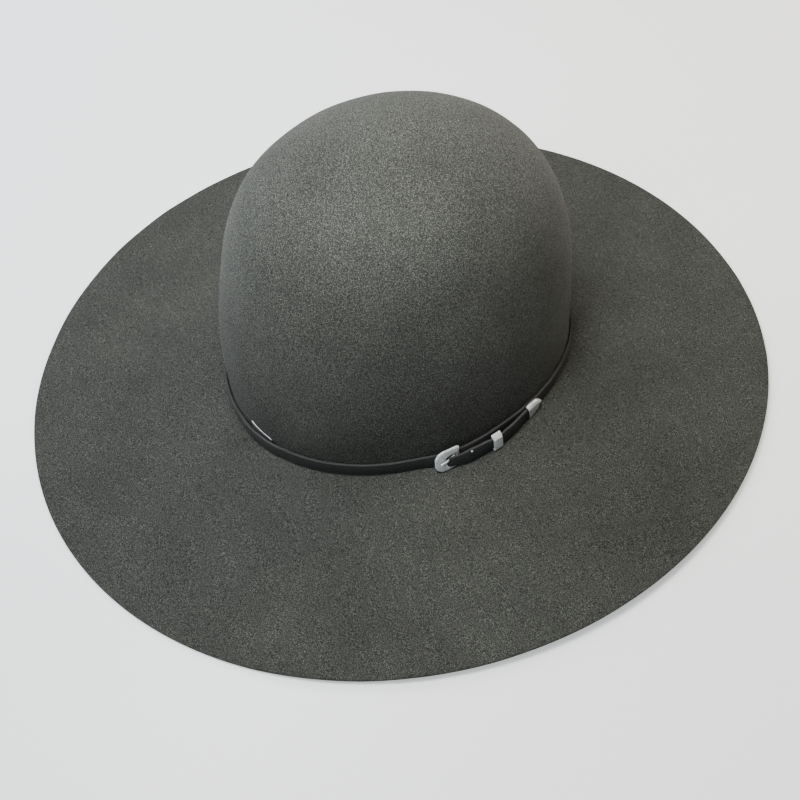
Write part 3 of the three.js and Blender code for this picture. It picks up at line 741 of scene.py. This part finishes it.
def wall_rings(surface):
    """Top of the crown, and rings of the felt body from there out over the brim and back up inside."""
    form = surface.form
    turn = circle(form.columns)
    heights = along_dome(form, 0.0, CROWN_ROWS)
    outside = [surface.crown(turn, h) for h in heights]
    apex = np.array([0, 0, form.crown_height - surface.floor])
    normals = []
    for r, ring in enumerate(outside):
        around = np.roll(ring, -1, 0) - np.roll(ring, 1, 0)
        above = outside[r + 1] if r + 1 < len(outside) else np.broadcast_to(apex, ring.shape)
        below = outside[r - 1] if r else ring
        normal = np.cross(around, above - below)
        normals.append(normal / np.linalg.norm(normal, axis=1)[:, None])

    # The soft waves fade out towards the fold, where the strap lies.
    calm_crown = 0.12
    calm_brim, full_brim = 0.06, 0.2
    calm = np.clip(heights / calm_crown, 0, 1)
    outside = [
        ring + normal * (soft_waves(ring, form.unevenness) * ease)[:, None]
        for ring, normal, ease in zip(outside, normals, calm)
    ]
    rings = outside[::-1]

    def brim_row(reach, inset=0.0, drop=0.0):
        """One ring of the brim. It gives where it would sink into the floor."""
        row = surface.brim(turn, reach, inset)
        ease = np.clip((reach - calm_brim) / full_brim, 0, 1)
        row[:, 2] += soft_waves(row, form.unevenness * 1.3) * ease
        row[:, 2] = np.maximum(row[:, 2], form.felt) - drop
        return row

    rings += [brim_row(reach) for reach in np.linspace(0, 1, BRIM_ROWS + 2)[1:-1]]
    corner = np.linspace(0, math.pi / 2, 5)
    inset = BRIM_CORNER * (1 - np.sin(corner))
    drop = BRIM_CORNER * (1 - np.cos(corner))
    rings += [brim_row(1, *step) for step in zip(inset, drop)]
    rings += [brim_row(1, *step) for step in zip(inset[::-1], form.felt - drop[::-1])]
    rings += [brim_row(reach, 0.0, form.felt) for reach in np.linspace(1, 0, UNDER_ROWS + 1)[1:-1]]
    spare = form.fold - form.felt
    for angle in np.radians([270, 247, 225, 202, 180]):
        out = spare + form.fold * math.cos(angle)
        down = spare + form.fold * math.sin(angle)
        rings.append(brim_row(0, -out, -down))
    past_fold = spare + 1.5 * MM
    for ring, normal, height in zip(outside, normals, heights):
        if height * form.crown_height > past_fold:
            rings.append(ring - normal * form.felt)
    return rings[0].mean(0) * [1, 1, 0] + [0, 0, apex[2]], rings


class HAT_OT_body(bpy.types.Operator):
    """Builds the crown and the brim as one felt wall"""

    bl_idname = "hat.body"
    bl_label = "Felt body"

    def execute(self, context):
        surface, _, finish = shapes()
        apex, rings = wall_rings(surface)
        inside = apex - np.array([0, 0, surface.form.felt])
        body = turned_out(loft("blocked_felt_body", rings, apex, inside))
        # The body's felt gets painted light towards the crown's top and patches of painted light and shade.
        marks = [(self.middle(surface, row), row["size"] * MM, row["tone"]) for row in PAINTED_LIGHT_PATCHES]
        tones = finish.felt_dark, finish.felt_light
        material = felt_material("brushed fur felt", *tones, 1.0, brushed_and_painted_top_light=TOP_PAINTED_LIGHT, marks=marks)
        hand_over(body, material, "body_felt", "felt_body")
        return {"FINISHED"}

    def middle(self, surface, mark):
        """Place of a patch of painted light and shade, on the crown or on the brim."""
        turn = np.array(math.radians(mark["turn"]))
        if "height" in mark:
            return tuple(surface.crown(turn, mark["height"]))
        return tuple(surface.brim(turn, mark["reach"]))


def new_tree(name, lengths, numbers=(), counts=()):
    """Makes a node group that takes and gives a shape, and has named inputs."""
    tree = bpy.data.node_groups.new(name, "GeometryNodeTree")
    tree.interface.new_socket("Geometry", in_out="INPUT", socket_type="NodeSocketGeometry")
    for label in (*lengths, *numbers):
        socket = tree.interface.new_socket(label, in_out="INPUT", socket_type="NodeSocketFloat")
        if label in lengths:
            socket.subtype = "DISTANCE"
    for label in counts:
        tree.interface.new_socket(label, in_out="INPUT", socket_type="NodeSocketInt")
    tree.interface.new_socket("Geometry", in_out="OUTPUT", socket_type="NodeSocketGeometry")
    return tree, add_node(tree, "NodeGroupInput")


def carry_tree(piece, tree, values):
    """Gives a piece a node group as its modifier, with the inputs that have these names."""
    modifier = piece.modifiers.new(tree.name, "NODES")
    modifier.node_group = tree
    for item in tree.interface.items_tree:
        if item.item_type == "SOCKET" and item.in_out == "INPUT" and item.name in values:
            modifier[item.identifier] = values[item.name]


def nap_tree(material):
    """Scatters short fibres over a skin. Each is one thin triangle that leans away from the skin."""
    per_area = "Fibres per square metre"
    tree, given = new_tree("Nap on a skin", ("Length", "Width"), (per_area, "Rise"), ("Seed",))
    seed = given["Seed"]
    cover = {"Mesh": given["Geometry"], "Density": given[per_area], "Seed": seed}
    spread = add_node(tree, "GeometryNodeDistributePointsOnFaces", cover)
    blade = add_node(tree, "GeometryNodeMeshCircle", [3, 1.0], fill_type="NGON")[0]
    box = {0: (-1, -1, -1), 1: (1, 1, 1), "Seed": seed}
    stray = add_node(tree, "FunctionNodeRandomValue", box, data_type="FLOAT_VECTOR")[0]
    lift = {0: spread["Normal"], "Scale": given["Rise"]}
    raised = add_node(tree, "ShaderNodeVectorMath", lift, operation="SCALE")[0]
    aim = add_node(tree, "ShaderNodeVectorMath", [raised, stray], operation="ADD")[0]
    turned = add_node(tree, "FunctionNodeAlignRotationToVector", {"Vector": aim}, axis="X")[0]
    shares = {2: 0.5, 3: 1.5, "Seed": seed}
    uneven = add_node(tree, "FunctionNodeRandomValue", shares, data_type="FLOAT")[1]
    long = add_node(tree, "ShaderNodeMath", [given["Length"], uneven], operation="MULTIPLY")[0]
    size = add_node(tree, "ShaderNodeCombineXYZ", [long, given["Width"], 1.0])[0]
    fibre = {"Points": spread["Points"], "Instance": blade, "Rotation": turned, "Scale": size}
    placed = add_node(tree, "GeometryNodeInstanceOnPoints", fibre)[0]
    real = add_node(tree, "GeometryNodeRealizeInstances", [placed])[0]
    painted = add_node(tree, "GeometryNodeSetMaterial", {"Geometry": real, "Material": material})[0]
    add_node(tree, "NodeGroupOutput", [painted])
    return tree


class HAT_OT_nap(bpy.types.Operator):
    """Scatters the fibres of the nap over the crown and the brim"""

    bl_idname = "hat.nap"
    bl_label = "Nap"

    def execute(self, context):
        surface, _, finish = shapes()
        apex, rings = wall_rings(surface)
        crown = ("crown_nap", rings[: CROWN_ROWS + 1], apex)
        brim = ("brim_nap", rings[CROWN_ROWS - 1 : CROWN_ROWS + BRIM_ROWS], None)
        material = fibre_material("loose fur fibres", finish.felt_light, finish.fibre)
        values = {
            "Fibres per square metre": finish.fibres,
            "Length": finish.fibre_length,
            "Width": finish.fibre_width,
            "Rise": 1.1,
        }
        for seed, (name, skin, top) in enumerate((crown, brim), 1):
            piece = loft(name, skin, top)
            if sum(face.normal.z for face in piece.data.polygons) < 0:
                piece.data.flip_normals()
            carry_tree(piece, nap_tree(material), {**values, "Seed": seed})
            hand_over(finished(piece), material, "body_felt")
        return {"FINISHED"}


def strap_tree(material):
    """Sweeps a strap's section along a path, with rounded edges and closed ends."""
    tree, given = new_tree("Strap along a path", ("Thickness", "Width", "Edge radius"))
    path = {"Curve": given["Geometry"]}
    upright = add_node(tree, "GeometryNodeSetCurveNormal", path, mode="Z_UP")[0]
    sides = {"Width": given["Thickness"], "Height": given["Width"]}
    outline = add_node(tree, "GeometryNodeCurvePrimitiveQuadrilateral", sides)[0]
    corners = {"Curve": outline, "Radius": given["Edge radius"], "Count": 3}
    rounded = add_node(tree, "GeometryNodeFilletCurve", corners, mode="POLY")[0]
    squeeze = add_node(tree, "GeometryNodeInputRadius")[0]
    sweep = {"Curve": upright, "Profile Curve": rounded, "Scale": squeeze, "Fill Caps": True}
    swept = add_node(tree, "GeometryNodeCurveToMesh", sweep)[0]
    real = add_node(tree, "GeometryNodeRealizeInstances", [swept])[0]
    painted = add_node(tree, "GeometryNodeSetMaterial", {"Geometry": real, "Material": material})[0]
    add_node(tree, "NodeGroupOutput", [painted])
    return tree


class HAT_OT_strap(bpy.types.Operator):
    """Sweeps the felt strap round the crown, through the buckle and over itself"""

    bl_idname = "hat.strap"
    bl_label = "Strap"

    def execute(self, context):
        _, strap, finish = shapes()
        trim = strap.trim
        along, out, middle, lean, width = strap.path(STRAP_STEP).T
        places = strap.place(along, out, middle)
        curve = bpy.data.curves.new("strap_path", "CURVE")
        curve.dimensions = "3D"
        spline = curve.splines.new("POLY")
        spline.points.add(len(places) - 1)
        for point, place, slope, squeeze in zip(spline.points, places, lean, width):
            point.co = (*place, 1)
            point.tilt = -math.atan(slope)
            point.radius = squeeze
        piece = add_object("cut_felt_strap", curve)
        tones = finish.strap_dark, finish.strap_light
        # The strap's felt gets a painted highlight on its faces that look up.
        material = felt_material("cut and pressed felt", *tones, 0.7, painted_edge_highlight=0.22)
        section = {"Thickness": trim.band_thickness, "Width": trim.band_height, "Edge radius": BAND_EDGE}
        carry_tree(piece, strap_tree(material), section)
        piece = turned_out(finished(piece))
        piece.data.shade_smooth()
        piece = combined(piece, self.hole_blocks(strap), "DIFFERENCE")
        hand_over(piece, material, "band_felt", "hat_band")
        return {"FINISHED"}

    def hole_blocks(self, strap):
        """Blocks that cut the tongue's hole and the slot for its hook."""
        trim = strap.trim
        half = trim.tongue_width / 2 + trim.clearance
        thick = trim.band_thickness
        hole_from, hole_to = -1.05 * trim.buckle_mouth, -0.84 * trim.buckle_mouth
        spans = (
            ((hole_from, hole_to), (-thick, 3 * thick)),
            ((-strap.hook - thick, strap.hook + thick / 2), (-strap.hook - thick, trim.clearance)),
        )
        faces = [(0, 1, 3, 2), (4, 6, 7, 5), (0, 4, 5, 1), (2, 3, 7, 6), (0, 2, 6, 4), (1, 5, 7, 3)]
        blocks = []
        for number, (along, out) in enumerate(spans):
            corners = [(a, u, o) for a in along for u in (-half, half) for o in out]
            points = strap.on_buckle(*np.array(corners).T)
            blocks.append(turned_out(mesh_object(f"tongue_hole_{number}", points, faces, smooth=False)))
        return blocks


def rounded_run(points, radii, steps):
    """A run of corners in the plane, each rounded by its radius."""
    result = [np.array(points[0], float)]
    for i in range(1, len(points) - 1):
        before, here, after = (np.array(points[j], float) for j in (i - 1, i, i + 1))
        inward = (before - here) / np.linalg.norm(before - here)
        outward = (after - here) / np.linalg.norm(after - here)
        angle = math.acos(np.clip(inward @ outward, -1, 1))
        cut = radii[i] / math.tan(angle / 2)
        middle = (inward + outward) / np.linalg.norm(inward + outward)
        centre = here + middle * radii[i] / math.sin(angle / 2)
        first = here + inward * cut - centre
        last = here + outward * cut - centre
        turn = math.acos(np.clip(first @ last / radii[i] ** 2, -1, 1))
        for t in np.linspace(0, 1, steps + 1):
            part = (math.sin((1 - t) * turn) * first + math.sin(t * turn) * last) / math.sin(turn)
            result.append(centre + part)
    result.append(np.array(points[-1], float))
    return np.array(result)


def evenly(points, count):
    """The same run, with a count of points evenly along it."""
    run = np.concatenate([[0], np.cumsum(np.linalg.norm(np.diff(points, axis=0), axis=1))])
    wanted = np.linspace(0, run[-1], count)
    return np.stack([np.interp(wanted, run, points[:, i]) for i in range(points.shape[1])], 1)


def frame_rings(strap):
    """Sections across the C-shaped frame, domed in front and flatter behind."""
    trim = strap.trim
    upper_cut = 1.2 * MM
    round_low, round_high, round_mouth = 5.4 * MM, 5.8 * MM, 2.2 * MM
    end = strap.frame_end
    tip = end - trim.buckle_length
    low = -trim.buckle_height / 2
    high = trim.buckle_height / 2 - upper_cut
    in_low = low + trim.lower_arm
    in_high = high - trim.upper_arm
    taper = trim.arm_taper
    corners = [(end, low + taper), (tip, low), (tip, high), (end, high - taper * 0.4)]
    outer = rounded_run(corners, [0, round_low, round_high, 0], 14)
    mouth = strap.mouth
    corners = [(end, in_low - taper * 0.6), (mouth, in_low), (mouth, in_high), (end, in_high + taper)]
    inner = rounded_run(corners, [0, round_mouth, round_mouth, 0], 10)

    outer = evenly(outer, FRAME_SECTIONS)
    inner = evenly(inner, FRAME_SECTIONS)
    across = np.linspace(0, 1, 13)
    swell = np.sqrt(np.clip(1 - (2 * across - 1) ** 4, 0, 1))
    thick = trim.buckle_thickness
    rings = []
    for i in range(FRAME_SECTIONS):
        # The arms' ends are rounded over the last four sections.
        near_end = min(i, FRAME_SECTIONS - 1 - i) / 4
        ease = math.sqrt(1 - (1 - min(1, near_end + 0.12)) ** 2)
        front = thick * (0.05 + 0.45 * swell) * ease
        back = -thick * (0.1 + 0.28 * swell) * ease
        line = inner[i] + (outer[i] - inner[i]) * (0.5 + (across - 0.5) * ease)[:, None]
        along, up = np.concatenate([line, line[::-1]]).T
        rings.append(strap.on_buckle(along, up, np.concatenate([front, back[::-1]])))
    return rings


class HAT_OT_buckle(bpy.types.Operator):
    """Builds the buckle's frame with its bar, and the tongue"""

    bl_idname = "hat.buckle"
    bl_label = "Buckle"

    def execute(self, context):
        _, strap, finish = shapes()
        # A face of 0.9 paints the nickel's faces that do not look up a little darker: painted shade.
        nickel = nickel_material("polished nickel plate", finish.nickel, 3 * MM, 0.9)
        body = solid("buckle_frame_domed", frame_rings(strap))
        body = combined(body, [self.bar(strap)], "UNION")
        body.data.shade_smooth()
        hand_over(body, nickel, "buckle_metal", "buckle_frame")
        hand_over(self.tongue(strap), nickel, "buckle_metal", "buckle_tongue")
        return {"FINISHED"}

    def bar(self, strap):
        """Round bar between the arms, sunk into both."""
        trim = strap.trim
        half = trim.buckle_height / 2
        radius = trim.bar_radius * 0.8
        along = radius * np.cos(circle(20))
        out = radius * np.sin(circle(20))
        levels = np.linspace(trim.lower_arm * 0.5 - half, half - trim.upper_arm * 0.6, 12)
        return solid("bar", [strap.on_buckle(along, up, out) for up in levels])

    def tongue(self, strap):
        """Prong hooked round the bar, through the strap and on to the frame's outer end."""
        trim = strap.trim
        thick = trim.tongue_thickness
        hook = trim.bar_radius + trim.clearance + thick / 2
        mouth = strap.mouth
        tip = mouth - TONGUE_REACH

        def rest(along):
            """Out to the tongue's middle where it lies on the frame."""
            return trim.buckle_thickness / 2 + thick / 2 - BUCKLE_TILT * along

        line = [(hook * math.cos(a), -hook * math.sin(a)) for a in np.radians(range(0, 181, 30))]
        line += [
            (-hook - 0.3 * MM, 0.5 * MM),
            (-hook - 2 * MM, 0.6 * MM),
            (mouth + 1.4 * MM, 1.0 * MM),
            (mouth + 0.1 * MM, rest(mouth) - 0.1 * MM),
            (mouth - 1 * MM, rest(mouth - 1 * MM)),
            (tip, rest(tip) - 0.1 * MM),
        ]
        line = evenly(np.array(line), TONGUE_SECTIONS)
        direction = np.gradient(line, axis=0)
        direction /= np.linalg.norm(direction, axis=1)[:, None]
        side = np.column_stack([-direction[:, 1], direction[:, 0]])
        around = circle(14)
        rings = []
        for i, (point, normal) in enumerate(zip(line, side)):
            # It narrows a little from the hook on, and its last sections round the tip.
            to_tip = len(line) - 1 - i
            narrowing = 1 - 0.22 * i / len(line)
            wide = min(1, 0.35 + to_tip / 9) * narrowing
            deep = min(1, 0.5 + to_tip / 6)
            up = trim.tongue_width / 2 * wide * np.cos(around)
            lift = thick / 2 * deep * np.sin(around)
            rings.append(strap.on_buckle(point[0] + normal[0] * lift, up, point[1] + normal[1] * lift))
        return solid("buckle_prong", rings)


class HAT_OT_strap_metal(bpy.types.Operator):
    """Builds the keeper, the tip's cap, the pin and the small plate"""

    bl_idname = "hat.strap_metal"
    bl_label = "Keeper, tip, pin and plate"

    def execute(self, context):
        _, strap, finish = shapes()
        nickel = bpy.data.materials["polished nickel plate"]
        hand_over(self.keeper(strap), nickel, "buckle_metal", "keeper_loop")
        hand_over(self.cap(strap), nickel, "buckle_metal", "strap_tip")
        hand_over(self.pin(strap), nickel, "buckle_metal", "strap_pin")
        # A face of 0.12 paints the plate's faces that do not look up nearly black: painted shade.
        sheet = nickel_material("bright sheet steel", finish.nickel, 6 * MM, 0.12)
        hand_over(self.plate(strap), sheet, "plate_metal", "pin_plate")
        return {"FINISHED"}

    def keeper_outline(self, back, front, top, slant, facet, lower, radii):
        """Section of the keeper, from the middle of its back over the top. Slant and facet are the
        depth and height of the upper facet, and lower is the size of the one below."""
        corners = [
            (back, 0),
            (back, top),
            (front - slant, top),
            (front, top - facet),
            (front, lower - top),
            (front - lower, -top),
            (back, -top),
            (back, 0),
        ]
        return rounded_run(corners, radii, 4)[:-1]

    def keeper(self, strap):
        """Loop with a slightly domed, bevelled front."""
        trim = strap.trim
        deep = trim.band_thickness / 2 + trim.clearance * 0.6
        top = trim.band_height / 2
        facet = trim.keeper_facet
        slant = facet * 1.2
        wall = trim.metal * 0.5
        radii = np.array([0, 0.3, 0.35, 0.35, 0.35, 0.3, 0.3, 0]) * MM
        outside = (-deep - trim.metal, deep + trim.keeper_front, top + trim.metal, slant, facet)
        outer = self.keeper_outline(*outside, 0.8 * MM, radii)
        radii = np.array([0, 1, 1, 1, 1, 1, 1, 0]) * 0.1 * MM
        inner = self.keeper_outline(-deep, deep, top, slant - wall, facet - wall, 0.6 * MM, radii)

        half = trim.keeper_length / 2
        edge = 0.22 * MM
        lip = outer * [0.93, 0.985]
        rows = [(-half, lip)]
        for x in np.linspace(-1, 1, 9):
            bulge = 1 + 0.035 * (1 - x * x)
            rows.append((x * (half - edge), outer * [bulge, 1]))
        rows += [(half, lip), (half, inner), (-half, inner)]
        rings = []
        for shift, section in rows:
            along = trim.keeper_place + shift
            out, middle, lean = strap.overlap_at(along)
            depth, up = section.T
            rings.append(strap.place(along + strap.once, out + depth - lean * up, middle + up))
        return turned_out(loft("keeper_bevelled", rings, closed_along=True))

    def cap(self, strap):
        """Pointed cap, domed over the strap's end, with a ridge along its upper front."""
        trim = strap.trim
        half = trim.band_height / 2 + trim.clearance + trim.metal
        end = trim.overlap + trim.cap_overhang
        start = end - trim.cap_length
        front = trim.band_thickness / 2 + trim.clearance + trim.metal
        back = -trim.band_thickness / 2
        levels = np.array([row["level"] for row in CAP_SECTION])
        depths = np.array([row["out"] for row in CAP_SECTION])
        rings = []
        for t in np.linspace(0, 1, 28):
            # The sides are straight as far as the bend, and then close in to the point.
            bend = max(0, (t - 0.42) / 0.58)
            width = max(half * (1 - bend**2.3), 0.35 * MM)
            up = levels * width
            slant = trim.cap_slant * (0.5 - up / (2 * half)) * (1 - t) ** 2
            along = start + (end - start) * t + slant
            out, middle, lean = strap.overlap_at(np.minimum(along, trim.overlap))
            drop = (front - back) * (1 - 0.35 * max(0, (t - 0.5) / 0.5) ** 2)
            depth = out + back + drop * depths - lean * up
            rings.append(strap.place(along + strap.once, depth, middle + up))
        piece = loft("tip_cap_domed", rings, end=FLAT, closed_round=False)
        wall = piece.modifiers.new("Sheet", "SOLIDIFY")
        wall.thickness = trim.metal * 0.8
        wall.offset = -1
        wall.use_even_offset = True
        piece = turned_out(finished(piece))
        piece.data.shade_smooth()
        return piece

    def pin(self, strap):
        """Small domed head near the strap's upper edge."""
        trim = strap.trim
        out, middle, lean = strap.overlap_at(trim.pin_place)
        level = trim.band_height / 2 - 1.6 * trim.pin_radius
        face = out + trim.band_thickness / 2 + trim.clearance
        around = circle(20)
        rings = []
        for angle in np.radians([0, 20, 40, 60, 75]):
            wide = trim.pin_radius * math.cos(angle)
            up = level + wide * np.sin(around)
            along = trim.pin_place + wide * np.cos(around) + strap.once
            depth = face + trim.pin_radius * math.sin(angle) - lean * up
            rings.append(strap.place(along, depth, middle + up))
        return solid("pin_head", rings)

    def plate(self, strap):
        """Thin curved plate, tucked behind the strap."""
        trim = strap.trim
        low = trim.clearance + trim.band_height - trim.plate_tuck
        rows = np.array([(row["along"], row["rise"]) for row in PLATE_TOP])
        edge = 0.08 * MM
        deep = trim.plate_thickness
        depth = trim.clearance + np.array([0, 0, edge, deep - edge, deep, deep])
        rings = []
        for part in np.linspace(-0.5, 0.5, 40):
            along = strap.plate_place + part * trim.plate_length
            top = low + np.interp(part, *rows.T) * trim.plate_height
            rings.append(strap.place(along, depth, np.array([low, top - edge, top, top, top - edge, low])))
        piece = solid("tucked_plate", rings)
        piece.data.shade_flat()
        return piece


def camera_matrix():
    """Place and turn of the camera, from the fitted values."""
    names = ("azimuth", "elevation", "roll", "turn", "pitch")
    a, e, roll, turn, pitch = (math.radians(CAMERA[name]) for name in names)
    back = Vector((math.sin(a) * math.cos(e), -math.cos(a) * math.cos(e), math.sin(e)))
    right = Vector((math.cos(a), math.sin(a), 0))
    up = back.cross(right)
    across = math.cos(roll) * right + math.sin(roll) * up
    above = -math.sin(roll) * right + math.cos(roll) * up
    ahead = -back
    side = math.cos(turn) * across - math.sin(turn) * ahead
    ahead = math.sin(turn) * across + math.cos(turn) * ahead
    top = math.cos(pitch) * above - math.sin(pitch) * ahead
    ahead = math.sin(pitch) * above + math.cos(pitch) * ahead
    matrix = Matrix((side, top, -ahead)).transposed().to_4x4()
    matrix.translation = Vector((0, 0, -shapes()[0].floor)) + back * CAMERA["distance"]
    return matrix


class HAT_OT_stage(bpy.types.Operator):
    """Sets the floor, the lights and the camera"""

    bl_idname = "hat.stage"
    bl_label = "Stage"

    def execute(self, context):
        scene = context.scene
        corners = [(x * FLOOR_HALF, y * FLOOR_HALF, 0) for x, y in ((-1, -1), (1, -1), (1, 1), (-1, 1))]
        floor = mesh_object("floor", corners, [(0, 1, 2, 3)], smooth=False)
        floor.data.materials.append(floor_material("matt white board", scene.hat_finish.floor))
        for lamp in LAMPS:
            self.light(**lamp)
        world = bpy.data.worlds.new("studio")
        world.use_nodes = True
        background = world.node_tree.nodes["Background"]
        background.inputs["Color"].default_value = (0.9, 0.93, 1, 1)
        background.inputs["Strength"].default_value = 0.03
        scene.world = world
        data = bpy.data.cameras.new("camera")
        data.sensor_width = SENSOR
        data.lens = CAMERA["focal"] * SENSOR
        data.clip_start = 0.01
        camera = add_object("camera", data)
        camera.matrix_world = camera_matrix()
        scene.camera = camera
        return {"FINISHED"}

    def light(self, name, turn, reach, height, size, power, tone):
        """Places a lamp by its turn round the hat, counted from the picture's right over its back."""
        data = bpy.data.lights.new(name, "AREA")
        data.shape = "DISK"
        data.size = size
        data.energy = power
        data.color = tone
        lamp = add_object(name, data)
        angle = math.radians(CAMERA["azimuth"] + turn)
        lamp.location = (math.cos(angle) * reach, math.sin(angle) * reach, height)
        aim = Vector((0, 0, LAMP_AIM)) - lamp.location
        lamp.rotation_euler = aim.to_track_quat("-Z", "Y").to_euler()


class HAT_PT_panel(bpy.types.Panel):
    """Lists the hat's pieces in the sidebar"""

    bl_idname = "HAT_PT_panel"
    bl_label = "Felt Hat"
    bl_space_type = "VIEW_3D"
    bl_region_type = "UI"
    bl_category = "Felt Hat"

    def draw(self, context):
        for operator in OPERATORS:
            self.layout.operator(operator.bl_idname)
        for group in (context.scene.hat_form, context.scene.hat_trim, context.scene.hat_finish):
            column = self.layout.column(align=True)
            for name in group.__annotations__:
                column.prop(group, name)


GROUPS = {"hat_form": HatForm, "hat_trim": HatTrim, "hat_finish": HatFinish}
OPERATORS = (HAT_OT_body, HAT_OT_nap, HAT_OT_strap, HAT_OT_buckle, HAT_OT_strap_metal, HAT_OT_stage)
CLASSES = (*GROUPS.values(), *OPERATORS, HAT_PT_panel)


def register():
    for item in CLASSES:
        bpy.utils.register_class(item)
    for name, group in GROUPS.items():
        setattr(bpy.types.Scene, name, PointerProperty(type=group))


def unregister():
    for name in GROUPS:
        delattr(bpy.types.Scene, name)
    for item in reversed(CLASSES):
        bpy.utils.unregister_class(item)


def main():
    register()
    bpy.ops.hat.body()
    bpy.ops.hat.nap()
    bpy.ops.hat.strap()
    bpy.ops.hat.buckle()
    bpy.ops.hat.strap_metal()
    bpy.ops.hat.stage()


if __name__ == "__main__":
    main()
